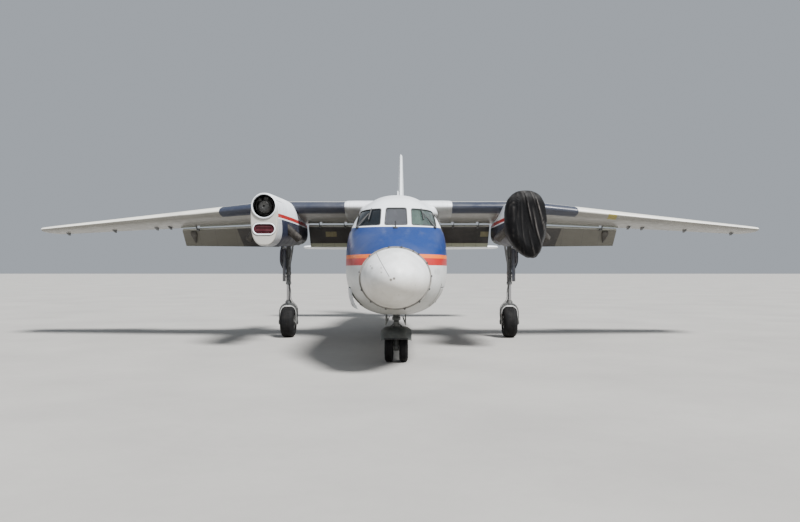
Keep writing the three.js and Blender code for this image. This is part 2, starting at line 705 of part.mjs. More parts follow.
function buildFuselage(wingCut) {
  const opening = passengerDoor();
  const cabinStations = [3300 + SEAT_GAP, ...CABIN_STATIONS.slice(1)];
  const cabin = cut(hull(FUSELAGE, cabinStations), opening, fairingSolid(SEAT_GAP), wingCut);
  add('fuselage_cabin', cabin, 'white');
  add('wing_fairing', cut(fairingSolid(0), wingCut), 'white');
}

function buildTail() {
  const stations = [10200 + SEAT_GAP, ...TAIL_STATIONS.slice(1)];
  const outer = hull(FUSELAGE, stations);
  const room = hull(FUSELAGE, [10190, 11700, 12950], 60);
  const half = surface(TAILPLANE, 0, 0, TAILPLANE.at(-1)[0]);
  const trimmed = join(cut(half, elevator.cutter), elevator.pins);
  const tailplane = join(trimmed, mirrored(trimmed));
  const slot = surface(TAILPLANE, 0, 0, TAILPLANE.at(-1)[0], SEAT_GAP);
  add('fuselage_tail', cut(outer, room, join(slot, mirrored(slot))), 'white');
  add('tailplane', tailplane, 'white');
  addPair('elevator', elevator.body, 'white', elevator.hinge);
}

// The fin is drawn with its span along +X and then stood up
function buildFin() {
  const table = FIN.map(([z, lead, trail, thick]) => [z, lead, 0, trail - lead, thick, 0]);
  const upright = (solid) => solid.rotate([0, -90, 0]);
  const whole = upright(surface(table, 0, table[0][0], TIP_HEIGHT));
  const { bottom, top, hingeBottom, hingeTop, lowGap, highGap } = RUDDER;
  const ring = (z, cutter) => {
    const row = rowAt(table, z);
    const hingeStation = hingeBottom + ((z - bottom) / (top - bottom)) * (hingeTop - hingeBottom);
    return hingedRing(row, 0, (hingeStation - row[1]) / row[3], cutter);
  };
  const rudder = upright(loft([ring(bottom, false), ring(top, false)]));
  const cutter = upright(loft([ring(bottom - lowGap, true), ring(top + highGap, true)]));
  const [from, to] = [point(0, hingeBottom, bottom), point(0, hingeTop, top)];
  const axis = to.clone().sub(from).normalize();
  const up = new THREE.Vector3(0, 0, 1);
  const pins = join(hingePin(from, axis, -lowGap, up), hingePin(to, axis, highGap, up));
  const tailCut = hull(FUSELAGE, TAIL_STATIONS, -SEAT_GAP);
  add('fin', join(cut(whole, cutter, tailCut), pins), 'white');
  add('rudder', rudder, 'white', { origin: from.add(to).multiplyScalar(0.5), axis });
}

// Engines

const exhaustEnd = (side, [x, station, z]) => point(NACELLE_X + side * x, station, z);

function exhausts(radius, sides) {
  return [-1, 1].map((side) => {
    const [from, to] = [exhaustEnd(side, EXHAUST.from), exhaustEnd(side, EXHAUST.to)];
    return bar(from, to, radius, radius, sides);
  });
}

function buildPowerplant(wingCut) {
  const cavityStations = [3890, 3960, 4100, 4600, 5250, 5300];
  const cavity = hull(NACELLE, cavityStations, COWL_SKIN, NACELLE_X, NACELLE_POINTS);
  const shaftLine = (station) => point(NACELLE_X, station, SHAFT_HEIGHT);
  const mouth = bar(shaftLine(3700), shaftLine(4000), RING.radius, RING.radius, 24);
  const rim = bar(shaftLine(RING.front), shaftLine(3900), RING.rim, RING.rim + 8, 24);
  const intakeOutline = (grow) => {
    const outline = [];
    const round = INTAKE.tall / 2;
    const straight = INTAKE.half - round;
    for (let i = 0; i < 16; i += 1) {
      const angle = (2 * Math.PI * (i + 0.5)) / 16;
      const x = Math.sign(Math.cos(angle)) * straight + (round + grow) * Math.cos(angle);
      outline.push([NACELLE_X + x, INTAKE.height + (round + grow) * Math.sin(angle)]);
    }
    return outline;
  };
  const intake = frontPlate(intakeOutline(0), 3700, 4000);
  const outer = hull(NACELLE, COWL_STATIONS, 0, NACELLE_X, NACELLE_POINTS);
  const cowl = cut(join(outer, rim), cavity, mouth, intake, ...exhausts(EXHAUST.radius + RUN_GAP, 12));
  addPair('cowl', cowl, 'white');

  const block = bar(shaftLine(4080), shaftLine(5250 - SEAT_GAP), 205, 215, 20);
  const gearbox = bar(shaftLine(3930), shaftLine(4090), 110, 170, 20);
  const pipes = exhausts(EXHAUST.radius, 12);
  const bores = [-1, 1].map((side) => {
    const to = exhaustEnd(side, EXHAUST.to);
    const inward = exhaustEnd(side, EXHAUST.from).sub(to).normalize();
    return bar(to.clone().addScaledVector(inward, 160), to.clone().addScaledVector(inward, -20),
      EXHAUST.bore, EXHAUST.bore, 12);
  });
  addPair('engine', cut(join(block, gearbox, ...pipes), ...bores), 'steel');

  const flange = bar(shaftLine(3845), shaftLine(3870), 92, 92, 24);
  const shaft = bar(shaftLine(3868), shaftLine(3930 - SEAT_GAP), 52, 52, 20);
  const line = { origin: shaftLine(3887), axis: new THREE.Vector3(0, 1, 0) };
  addPair('prop_shaft', join(flange, shaft), 'steel', line);

  const plug = frontPlate(intakeOutline(-SEAT_GAP), 3862, 3905);
  const bars = [-38, 38].map((dz) => box(NACELLE_X - 150, NACELLE_X + 150, 3848, 3870,
    INTAKE.height + dz - 9, INTAKE.height + dz + 9));
  add('intake_plug_right', mirrored(join(plug, ...bars)), 'red');

  const nacelle = hull(NACELLE, [5250 + SEAT_GAP, ...NACELLE_STATIONS.slice(1)], 0, NACELLE_X,
    NACELLE_POINTS);
  const well = box(NACELLE_X - WELL.half, NACELLE_X + WELL.half, WELL.front, WELL.back, 1800, WELL.roof);
  const doorGap = box(NACELLE_X - 420, NACELLE_X + MAIN_DOOR.hinge, MAIN_DOOR.front - RUN_GAP,
    MAIN_DOOR.back + RUN_GAP, 1800, MAIN_DOOR.corner + RUN_GAP);
  const { leaf, lugs } = mainDoor();
  addPair('nacelle', join(cut(nacelle, well, doorGap, wingCut), lugs), 'navy');
  addPair('main_door', leaf.solid, 'navy', leaf.hinge);
}

// The lower skin of the nacelle at a station, off its middle plane by dx
function nacelleUnder(station, dx) {
  const [, half, , bottom, wide, , down] = sample(NACELLE, station);
  return wide - (wide - bottom) * (1 - (dx / half) ** down) ** (1 / down);
}

// The leg's door, hanging open, with an arm at each lug of the nacelle beside it
function mainDoor() {
  const stations = [6600, 7400, 8100];
  const { hinge, pivot, front, back, thick, angle, corner, lugAt, lug } = MAIN_DOOR;
  const skin = cut(
    hull(NACELLE, stations, 0, NACELLE_X, NACELLE_POINTS),
    hull(NACELLE, [6500, 7400, 8200], thick, NACELLE_X, NACELLE_POINTS),
  );
  const pivotX = NACELLE_X + hinge;
  const panel = skin.intersect(box(NACELLE_X - 420, pivotX - RUN_GAP, front, back, 1900, corner));
  const plate = (outline, start) => frontPlate(outline.map(([x, z]) => [pivotX + x, pivot + z]),
    start, start + lug.thick);
  const arms = lugAt.map((station) => {
    const reach = nacelleUnder(station, hinge) - pivot + thick / 2;
    return plate([[-12, -6], [0, -13], [12, -6], [12, 6], [-8, 22], [-14, reach], [-40, reach]], station);
  });
  const lugs = lugAt.map((station) => plate([[-12, -6], [0, -13], [12, -8], [30, 40], [30, lug.top],
    [3, lug.top], [3, 12], [-12, 6]], station + lug.thick + SEAT_GAP));
  const origin = point(pivotX, (front + back) / 2, pivot);
  const axis = new THREE.Vector3(0, 1, 0);
  const solid = turnedAbout(join(panel, ...arms), origin, axis, -angle);
  return { leaf: { solid, hinge: { origin, axis } }, lugs: join(...lugs) };
}

function engineCover() {
  const [first, last] = [COVER[0], COVER.at(-1)];
  const rings = COVER.map(([station, centre, half, top, bottom, wide, up, down]) => (
    oval(station, centre, half, top, bottom, wide, up, down, NACELLE_POINTS)));
  const grown = COWL_STATIONS.filter((station) => station < last[0] + 1).map((station) => {
    const [, half, top, bottom, wide, up, down] = sample(NACELLE, station);
    const [a, b, c] = [half + COVER_CLEAR, top + 0.7, bottom - COVER_CLEAR];
    return [station, a, b, c, wide, up, down];
  });
  const front = [first[0] + 50, ...grown[0].slice(1)];
  const back = [last[0] + 40, ...grown.at(-1).slice(1).map((value, i) => value + [3, 3, -3, 0, 0, 0][i])];
  const room = loft([front, ...grown, back].map(([station, half, top, bottom, wide, up, down]) => (
    oval(station, NACELLE_X, half, top, bottom, wide, up, down, NACELLE_POINTS))));
  add('engine_cover', cut(loft(rings), room), 'fabric');
}

// Landing gear

function tyreAndHub(name, x, spec, axleFrom, axleTo) {
  const { station, radius, width, rim } = spec;
  const half = width / 2;
  const round = 0.3 * width;
  const centre = point(x, station, radius);
  const tyre = turned([
    [rim, -half * 0.8], [radius - 1.1 * round, -half], [radius - 0.2 * round, -half * 0.74],
    [radius, -half * 0.3], [radius, half * 0.3], [radius - 0.2 * round, half * 0.74],
    [radius - 1.1 * round, half], [rim, half * 0.8],
  ], centre, 'x', WHEEL_SIDES);
  add(`${name}_tyre`, tyre, 'tyre');
  const seat = rim - SEAT_GAP;
  const hub = turned([
    [0, -half * 0.3], [seat * 0.55, -half * 0.3], [seat * 0.86, -half * 0.78], [seat, -half * 0.78],
    [seat, half * 0.78], [seat * 0.86, half * 0.78], [seat * 0.55, half * 0.3], [0, half * 0.3],
  ], centre, 'x', WHEEL_SIDES);
  return join(hub, axle(axleFrom, axleTo, station, radius));
}

// A wheel's axle, or the hole for it
const axle = (from, to, station, height, gap = 0) => (
  bar(point(from, station, height), point(to, station, height), 28 + gap, 28 + gap, 32));

// The fork is an arch seen from ahead; from the side its arms narrow towards the axle
function forkArch() {
  const { x, station, radius } = MAIN;
  const { half, thick, shoulder, top, deep, power } = FORK;
  const foot = radius - 62;
  const arch = (inset, crown) => {
    const arc = [0, 1, 2, 3, 4, 5, 6, 7, 8].map((i) => {
      const angle = (Math.PI * i) / 8;
      const [c, s] = [Math.cos(angle), Math.sin(angle)];
      const across = Math.sign(c) * Math.abs(c) ** (2 / power) * (half - inset);
      return [x + across, shoulder + s ** (2 / power) * (crown - shoulder)];
    });
    return [[x + half - inset, foot], ...arc, [x - half + inset, foot]];
  };
  const outline = [...arch(0, top), ...arch(thick, top - deep).reverse()];
  const side = [[-20, foot], [-46, radius - 20], [-60, 640], [-60, top + 10], [60, top + 10], [60, 640],
    [46, radius - 20], [20, foot]].map(([aft, z]) => [station + aft, z]);
  return frontPlate(outline, station - 70, station + 70).intersect(sidePlate(side, x - 300, x + 300));
}

function mainGear() {
  const { x, station, radius, leg } = MAIN;
  const top = WELL.roof - SEAT_GAP;
  const spindle = (dx, z) => point(x + dx, station, z);
  const strut = bar(spindle(0, 1240), spindle(0, top), leg + 14, leg + 14, 24);
  const piston = bar(spindle(0, FORK.top - 20), spindle(0, 1260), leg, leg, 24);
  const fork = forkArch();
  const brace = bar(point(x, station, 1500), point(x - 165, station - 190, WELL.roof - 60), 26, 26, 14);
  const link = sidePlate([[station + 40, 1300], [station + 175, 1080], [station + 175, 1040],
    [station + 40, 830], [station + 30, 880], [station + 125, 1060], [station + 30, 1240]], x - 26, x + 26);
  const bore = axle(x - 300, x + 300, station, radius, SEAT_GAP);
  addPair('main_leg', cut(join(strut, piston, fork, brace, link), bore), 'grey');
  const wheelHinge = { origin: point(x, station, radius), axis: new THREE.Vector3(1, 0, 0) };
  const reach = FORK.half - 4;
  const hub = tyreAndHub('main_left', x, MAIN, x - reach, x + reach);
  add('main_left_hub', hub, 'steel', wheelHinge);
  const otherHub = tyreAndHub('main_right', -x, MAIN, -x - reach, -x + reach);
  add('main_right_hub', otherHub, 'steel', { ...wheelHinge, origin: point(-x, station, radius) });
}

function noseGear() {
  const { station, radius, width, offset, leg } = NOSE;
  const at = (z, x = 0) => point(x, station, z);
  const drag = bar(point(0, station, 940), point(0, 1560, NOSE_BAY.roof - 36), 24, 24, 14);
  add('nose_leg', join(bar(at(716), at(NOSE_BAY.roof - SEAT_GAP), leg, leg, 28), drag), 'grey');

  const piston = bar(at(radius), at(716 - SEAT_GAP), 40, 52, 24);
  const boss = bar(at(radius, -42), at(radius, 42), 58, 58, 24);
  const turns = [0, 1, 2, 3, 4, 5, 6, 7, 8].map((i) => radians(GUARD.start + (i * GUARD.sweep) / 8));
  const arc = (r) => turns.map((a) => [station + r * Math.cos(a), radius + r * Math.sin(a)]);
  const guard = sidePlate([...arc(GUARD.outer), ...arc(GUARD.inner).reverse()], -GUARD.half, GUARD.half);
  const bore = axle(-80, 80, station, radius, SEAT_GAP);
  add('nose_fork', cut(join(piston, boss, guard), bore), 'grey',
    { origin: at(500), axis: new THREE.Vector3(0, 0, 1) });

  const hubs = [-1, 1].map((side) => tyreAndHub(side > 0 ? 'nose_left' : 'nose_right',
    side * offset, NOSE, 0, side * (offset + width * 0.4)));
  add('nose_hubs', join(...hubs), 'steel', { origin: at(radius), axis: new THREE.Vector3(1, 0, 0) });

  const { front, back, drop, thick } = NOSE_DOOR;
  const belly = 832;
  const x = NOSE_BAY.half - SEAT_GAP;
  const leaf = box(x - thick, x, front, back, belly - drop, belly);
  const origin = point(NOSE_BAY.half - 4, (front + back) / 2, belly);
  addPair('nose_door', leaf, 'grey', { origin, axis: new THREE.Vector3(0, 1, 0) });
}

const wingCut = grownWing();
buildNose();
lockerHatch();
buildCockpit();
buildFuselage(wingCut);
buildWing();
buildTail();
buildFin();
buildPowerplant(wingCut);
engineCover();
mainGear();
noseGear();

export default aircraft;
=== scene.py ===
# %% [markdown]
# # A small airliner, parked on its wheels
# The aircraft's solids come from its CAD model. This lesson draws every outer skin again with enough
# points to look smooth, paints it with shader nodes, and adds small pieces such as wipers and pipes.

# %% Load the frame
import json
from math import copysign, cos, exp, hypot, pi, radians, sin, sqrt

import bpy
from mathutils import Matrix, Vector

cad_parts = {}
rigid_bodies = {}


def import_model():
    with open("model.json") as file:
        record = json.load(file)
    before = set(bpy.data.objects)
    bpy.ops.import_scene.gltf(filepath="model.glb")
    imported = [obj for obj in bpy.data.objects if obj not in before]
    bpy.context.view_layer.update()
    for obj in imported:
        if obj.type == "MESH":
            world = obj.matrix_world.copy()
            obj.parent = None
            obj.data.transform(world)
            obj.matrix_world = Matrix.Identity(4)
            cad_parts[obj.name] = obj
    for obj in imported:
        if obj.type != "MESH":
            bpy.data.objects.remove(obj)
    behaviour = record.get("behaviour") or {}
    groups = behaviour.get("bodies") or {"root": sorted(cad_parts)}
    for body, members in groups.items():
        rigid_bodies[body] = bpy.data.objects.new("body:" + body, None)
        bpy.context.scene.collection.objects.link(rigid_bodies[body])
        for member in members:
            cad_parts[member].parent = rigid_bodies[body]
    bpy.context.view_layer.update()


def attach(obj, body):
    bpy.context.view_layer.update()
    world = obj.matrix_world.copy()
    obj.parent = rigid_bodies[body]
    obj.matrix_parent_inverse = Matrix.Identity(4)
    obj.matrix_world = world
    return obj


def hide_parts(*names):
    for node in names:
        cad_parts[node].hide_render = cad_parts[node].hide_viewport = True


for leftover in list(bpy.context.scene.objects):
    bpy.data.objects.remove(leftover)
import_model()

# %% [markdown]
# ## The camera and the light
# The camera looks at the nose through a slightly wide lens. Its distance was found from the wheel
# contacts and the wing tips. The light is that of a bright, hazy day: a soft sun over a pale sky.

# %% Place the camera
camera_data = bpy.data.cameras.new("front_camera")
camera_data.sensor_width = 36.0
camera_data.lens = 36.0 * 751 / 800
camera_data.clip_end = 900.0
camera = bpy.data.objects.new("front_camera", camera_data)
camera.location = (0.158, -18.6, 1.58)
camera.rotation_euler = (radians(90.69), 0.0, radians(0.42))
bpy.context.scene.collection.objects.link(camera)
bpy.context.scene.camera = camera
print("lens", round(camera_data.lens, 2), "mm")

# %% Light the stage
world = bpy.data.worlds.new("pale_sky")
world.use_nodes = True
world.node_tree.nodes["Background"].inputs["Color"].default_value = (0.8, 0.87, 0.96, 1.0)
world.node_tree.nodes["Background"].inputs["Strength"].default_value = 0.5
bpy.context.scene.world = world
for name, turn, power, angle in [("high_sun", (36, 12, 25), 10.5, 14), ("front_fill", (68, 0, -18), 0.3, 60)]:
    light = bpy.data.lights.new(name, "SUN")
    light.energy = power
    light.angle = radians(angle)
    sky_light = bpy.data.objects.new(name, light)
    sky_light.rotation_euler = [radians(part) for part in turn]
    bpy.context.scene.collection.objects.link(sky_light)
print("sun and fill placed")

# %% [markdown]
# ## Helpers for shapes
# An aircraft skin is a row of rings joined to each other. Blender's grid has the same layout, so a
# grid's points are laid on the rings and its seam is merged. Cuts are made with Boolean modifiers.

# %% Stations, selecting and applying
LENGTH = 15.7


def at(x, station, z):
    """A place given by the distance aft of the nose tip."""
    return Vector((x, station - LENGTH / 2, z))


def choose(*pieces):
    """Select these pieces only, the last one active."""
    bpy.ops.object.select_all(action="DESELECT")
    for piece in pieces:
        piece.select_set(True)
        bpy.context.view_layer.objects.active = piece


def settle(piece):
    """Write the object's place, turn and size into its mesh."""
    choose(piece)
    bpy.ops.object.transform_apply(location=True, rotation=True, scale=True)
    return piece


def finish_with(piece, kind, **settings):
    """Add one modifier and apply it."""
    modifier = piece.modifiers.new(kind.lower(), kind)
    for key, value in settings.items():
        setattr(modifier, key, value)
    choose(piece)
    bpy.ops.object.modifier_apply(modifier=modifier.name)
    return piece


def rounded(piece, width, segments=2, angle=35):
    """Round the sharp edges."""
    return finish_with(piece, "BEVEL", width=width, segments=segments, limit_method="ANGLE",
        angle_limit=radians(angle), harden_normals=False)


print("helpers ready")


# %% Skins from rings, and prisms from outlines
def named(name):
    """The shape that was just made, under its name."""
    piece = bpy.context.object
    piece.name = piece.data.name = name
    return piece


def laid_on(name, places):
    """The shape that was just added, its points laid on places and selected."""
    piece = named(name)
    for vertex, place in zip(piece.data.vertices, places):
        vertex.co = place
    piece.data.update()
    piece.matrix_world = Matrix.Identity(4)
    bpy.ops.object.mode_set(mode="EDIT")
    bpy.ops.mesh.select_all(action="SELECT")
    return piece


def face_outwards():
    """Turn every face outwards and leave the edit mode."""
    bpy.ops.mesh.select_all(action="SELECT")
    bpy.ops.mesh.normals_make_consistent(inside=False)
    bpy.ops.object.mode_set(mode="OBJECT")


def skin(name, rings, ends=True):
    """A grid laid on rings of equal count, its seam merged and its ends filled."""
    count, rows = len(rings[0]), len(rings)
    bpy.ops.object.select_all(action="DESELECT")
    bpy.ops.mesh.primitive_grid_add(x_subdivisions=count, y_subdivisions=rows - 1, size=1)
    piece = laid_on(name, [ring[i % count] for ring in rings for i in range(count + 1)])
    bpy.ops.mesh.remove_doubles(threshold=1e-5)
    if ends:
        bpy.ops.mesh.fill_holes(sides=0)
    face_outwards()
    return piece


def prism(name, outline, along):
    """A flat outline of places, extruded by a vector."""
    bpy.ops.object.select_all(action="DESELECT")
    bpy.ops.mesh.primitive_circle_add(vertices=len(outline), radius=1, fill_type="NGON")
    piece = laid_on(name, outline)
    bpy.ops.mesh.extrude_region_move(TRANSFORM_OT_translate={"value": Vector(along)})
    face_outwards()
    return piece


def block(name, x, station, z, round_by=0.0, segments=2):
    """A box from three [low, high] pairs, its edges rounded."""
    low, high = at(x[0], station[0], z[0]), at(x[1], station[1], z[1])
    bpy.ops.mesh.primitive_cube_add(size=1, location=(low + high) / 2, scale=high - low)
    piece = settle(named(name))
    return rounded(piece, round_by, segments) if round_by else piece


def rod(name, start, end, radius, end_radius=None, sides=32, round_by=0.0):
    """A round bar or cone between two places, its rims rounded."""
    start, end = Vector(start), Vector(end)
    along = end - start
    bpy.ops.mesh.primitive_cone_add(vertices=sides, radius1=radius,
        radius2=radius if end_radius is None else end_radius, depth=along.length, location=(start + end) / 2,
        rotation=along.to_track_quat("Z", "Y").to_euler())
    piece = settle(named(name))
    return rounded(piece, round_by, 2, 50) if round_by else piece


def turned(name, profile, centre, along, sides=64):
    """A profile of (radius, distance along) turned about a line; a closed loop of rings."""
    along = Vector(along).normalized()
    side = along.orthogonal().normalized()
    up = along.cross(side)
    rings = []
    for radius, distance in profile:
        middle = Vector(centre) + along * distance
        rings.append([middle + (side * cos(a) + up * sin(a)) * radius
            for a in [2 * pi * i / sides for i in range(sides)]])
    return skin(name, rings)


def tube(name, places, radius, sides=10):
    """A pipe or cable through places, as a curve with a round section, made a mesh."""
    curve = bpy.data.curves.new(name, "CURVE")
    curve.dimensions = "3D"
    curve.bevel_depth = radius
    curve.bevel_resolution = max(1, sides // 4)
    curve.resolution_u = 6
    curve.use_fill_caps = True
    line = curve.splines.new("NURBS")
    line.points.add(len(places) - 1)
    line.use_endpoint_u = True
    line.order_u = 3
    for spot, place in zip(line.points, places):
        spot.co = (*place, 1.0)
    piece = bpy.data.objects.new(name, curve)
    bpy.context.scene.collection.objects.link(piece)
    choose(piece)
    bpy.ops.object.convert(target="MESH")
    return named(name)


print("skin, prism, block, rod, turned and tube ready")


# %% Cutting, joining, copying and mirroring
def remove(*pieces):
    for piece in pieces:
        bpy.data.objects.remove(piece)


def cut(piece, *tools, how="DIFFERENCE"):
    """Cut the piece with solids, whose own material lines the cut."""
    for tool in tools:
        modifier = piece.modifiers.new("cut", "BOOLEAN")
        modifier.operation = how
        modifier.solver = "EXACT"
        modifier.material_mode = "TRANSFER"
        modifier.object = tool
        choose(piece)
        bpy.ops.object.modifier_apply(modifier=modifier.name)
    remove(*tools)
    return piece


def joined(name, *pieces):
    """Several shapes as one piece."""
    choose(*pieces)
    if len(pieces) > 1:
        bpy.ops.object.join()
    return named(name)


def copied(piece, name):
    """A copy with its own mesh."""
    double = piece.copy()
    double.data = piece.data.copy()
    double.name = double.data.name = name
    bpy.context.scene.collection.objects.link(double)
    return double


def mirrored(piece, name):
    """The same piece on the other side of the aircraft."""
    double = copied(piece, name)
    double.data.transform(Matrix.Scale(-1, 4, (1, 0, 0)))
    double.data.flip_normals()
    return double


def turned_about(piece, origin, axis, degrees):
    """Turn a piece's mesh about a line."""
    turn = Matrix.Rotation(radians(degrees), 4, Vector(axis))
    place = Matrix.Translation(Vector(origin))
    piece.data.transform(place @ turn @ place.inverted())
    return piece


def lined(finish, *pieces):
    """Give solids a finish; the faces that they cut show it too."""
    for piece in pieces:
        piece.data.materials.append(finish)


def place_piece(piece, body, material=None, slot=None, stands_for=(), smooth=32):
    """Finish a piece: paint it, shade it, and let it ride on its body."""
    if material:
        if piece.data.materials:
            piece.data.materials[0] = material
        else:
            piece.data.materials.append(material)
    choose(piece)
    bpy.ops.object.shade_smooth_by_angle(angle=radians(smooth))
    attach(piece, body)
    if stands_for:
        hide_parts(*stands_for)
    return piece


def pair(piece, body, *details, nodes=()):
    """Place a left piece, and its mirror image on the right."""
    twin = mirrored(piece, piece.name.replace("_left", "_right"))
    for part, hand in ((piece, "left"), (twin, "right")):
        ride = body if body == "airframe" else f"{body}_{hand}"
        place_piece(part, ride, *details, [f"{node}_{hand}" for node in nodes])


def fixed(piece, *details, **more):
    """Place a piece that never moves."""
    place_piece(piece, "airframe", *details, **more)


def fixed_pair(piece, *details, nodes=()):
    pair(piece, "airframe", *details, nodes=nodes)


print("cutting and finishing helpers ready")

# %% [markdown]
# ## Helpers for paint
# Paint is laid out by place: a stripe is a range of heights, a panel line a thin range of stations.
# Each shader reads the Object coordinates, which are metres on the aircraft, mixes its colours from
# masks of place, then adds grain, dirt and wear. Several also paint shade on the faces that look down.


# %% A recipe builds a material node by node
class Recipe:
    """A material in the making: a method adds nodes and gives back an output."""

    def __init__(self, name):
        self.material = bpy.data.materials.new(name)
        self.material.use_nodes = True
        self.tree = self.material.node_tree
        self.shader = self.tree.nodes["Principled BSDF"]
        self.place = self.node("ShaderNodeTexCoord").outputs["Object"]
        split = self.node("ShaderNodeSeparateXYZ")
        self.join(self.place, split.inputs[0])
        self.x, self.y, self.z = split.outputs
        self.side = self.math("ABSOLUTE", self.x)
        self.station = self.plus(self.y, LENGTH / 2)

    def node(self, kind):
        return self.tree.nodes.new(kind)

    def join(self, value, socket):
        if isinstance(value, bpy.types.NodeSocket):
            self.tree.links.new(value, socket)
        elif isinstance(value, tuple) and len(value) == 3 and len(socket.default_value) == 4:
            socket.default_value = (*value, 1.0)
        else:
            socket.default_value = value

    def fill(self, node, **values):
        """Set sockets by name, with _ for a space."""
        for key, value in values.items():
            node.inputs[key.replace("_", " ")].default_value = value

    def math(self, what, a, b=0.0):
        node = self.node("ShaderNodeMath")
        node.operation = what
        self.join(a, node.inputs[0])
        self.join(b, node.inputs[1])
        return node.outputs[0]

    def times(self, a, b):
        return self.math("MULTIPLY", a, b)

    def plus(self, a, b):
        return self.math("ADD", a, b)

    def minus(self, a, b):
        return self.math("SUBTRACT", a, b)

    def above(self, value, edge, soft=0.003):
        """0 below the edge, 1 above it."""
        if isinstance(edge, bpy.types.NodeSocket):
            value, edge = self.minus(value, edge), 0.0
        return self.spread(value, edge - soft, edge + soft, kind="SMOOTHSTEP")

    def under(self, value, edge, soft=0.003):
        return self.opposite(self.above(value, edge, soft))

    def both(self, *masks):
        result = masks[0]
        for mask in masks[1:]:
            result = self.times(result, mask)
        return result

    def either(self, *masks):
        result = masks[0]
        for mask in masks[1:]:
            result = self.math("MAXIMUM", result, mask)
        return result

    def opposite(self, mask):
        return self.minus(1.0, mask)

    def between(self, value, low, high, soft=0.003):
        return self.both(self.above(value, low, soft), self.under(value, high, soft))

    def lines(self, value, places, width=0.004):
        """Thin lines at these places."""
        return self.either(*[self.between(value, p - width / 2, p + width / 2, width / 3) for p in places])

    def stroke(self, a, b, start, end, width):
        """A thin line between two places in the plane of a and b."""
        (a0, b0), (a1, b1) = start, end
        size = hypot(a1 - a0, b1 - b0)
        ua, ub = (a1 - a0) / size, (b1 - b0) / size
        da, db = self.minus(a, a0), self.minus(b, b0)
        along = self.plus(self.times(da, ua), self.times(db, ub))
        off = self.math("ABSOLUTE", self.minus(self.times(da, ub), self.times(db, ua)))
        near = self.under(off, width / 2, width / 3)
        return self.both(near, self.between(along, 0.0, size))

    def spot(self, a, b, centre, radius, soft=0.003):
        da, db = self.minus(a, centre[0]), self.minus(b, centre[1])
        away = self.math("SQRT", self.plus(self.times(da, da), self.times(db, db)))
        return self.under(away, radius, soft)

    def noise(self, scale, detail=4.0, roughness=0.55, stretch=(1, 1, 1), distortion=0.0):
        mapping = self.node("ShaderNodeMapping")
        self.join(self.place, mapping.inputs["Vector"])
        mapping.inputs["Scale"].default_value = stretch
        node = self.node("ShaderNodeTexNoise")
        self.join(mapping.outputs[0], node.inputs["Vector"])
        self.fill(node, Scale=scale, Detail=detail, Roughness=roughness, Distortion=distortion)
        return node.outputs["Fac"]

    def spread(self, value, low, high, to_low=0.0, to_high=1.0, kind="LINEAR"):
        """Stretch a range of values to another."""
        node = self.node("ShaderNodeMapRange")
        node.interpolation_type = kind
        self.join(value, node.inputs["Value"])
        self.fill(node, From_Min=low, From_Max=high, To_Min=to_low, To_Max=to_high)
        return node.outputs["Result"]

    def mix(self, share, first, second):
        node = self.node("ShaderNodeMix")
        node.data_type = "RGBA"
        self.join(share, node.inputs[0])
        self.join(first, node.inputs[6])
        self.join(second, node.inputs[7])
        return node.outputs[2]

    def veil(self, mask, share, under, over):
        """Lay a share of one colour over another where the mask says."""
        return self.mix(self.times(mask, share), under, over)

    def bump(self, height, strength=0.2, distance=0.002):
        node = self.node("ShaderNodeBump")
        self.fill(node, Strength=strength, Distance=distance)
        self.join(height, node.inputs["Height"])
        self.join(node.outputs[0], self.shader.inputs["Normal"])

    def dents(self, scale, seams, depth=0.004):
        """Shallow dents between sunk seams."""
        self.bump(self.minus(self.noise(scale, 2.0), self.times(seams, 0.6)), 0.2, depth)

    def below(self, edge=-0.1, soft=0.25):
        """1 on faces that look down."""
        split = self.node("ShaderNodeSeparateXYZ")
        self.join(self.node("ShaderNodeTexCoord").outputs["Normal"], split.inputs[0])
        return self.under(split.outputs["Z"], edge, soft)

    def wear(self, colour, dirt=(0.2, 0.19, 0.17), amount=0.18, scale=1.3):
        """Grime in patches and fine streaks."""
        cloud = self.spread(self.noise(scale, 6.0, 0.62), 0.42, 0.75, 0.0, amount)
        streak = self.spread(self.noise(9.0, 4.0, 0.6, stretch=(1.0, 0.25, 1.6)), 0.52, 0.8, 0.0,
            amount * 0.7)
        return self.mix(self.either(cloud, streak), colour, dirt)

    def done(self, colour, roughness=(0.3, 0.5), metallic=0.0, grain=60.0, **sockets):
        """Fill the shader: the roughness wanders between its two values."""
        self.join(colour, self.shader.inputs["Base Color"])
        self.join(self.spread(self.noise(grain * 0.12, 5.0, 0.6), 0.3, 0.7, *roughness),
            self.shader.inputs["Roughness"])
        self.fill(self.shader, Metallic=metallic, **sockets)
        return self.material


print("recipe ready")

# %% [markdown]
# ## The paints and the other finishes
# The livery is white above, with a blue band on the nose that sweeps down into a stripe, then an
# orange and a red stripe, and pale grey below. Each paint also carries its seams, because a seam is
# thin and lies in one plane. The colours are linear values.

# %% Fuselage paint
WHITE = (0.8, 0.83, 0.86)
CREAM = (0.7, 0.69, 0.62)
BLUE = (0.004, 0.027, 0.135)
NAVY = (0.006, 0.011, 0.034)
ORANGE = (0.72, 0.13, 0.0)
RED = (0.38, 0.004, 0.003)
BELLY = (0.56, 0.57, 0.56)
SEAM = (0.1, 0.1, 0.1)


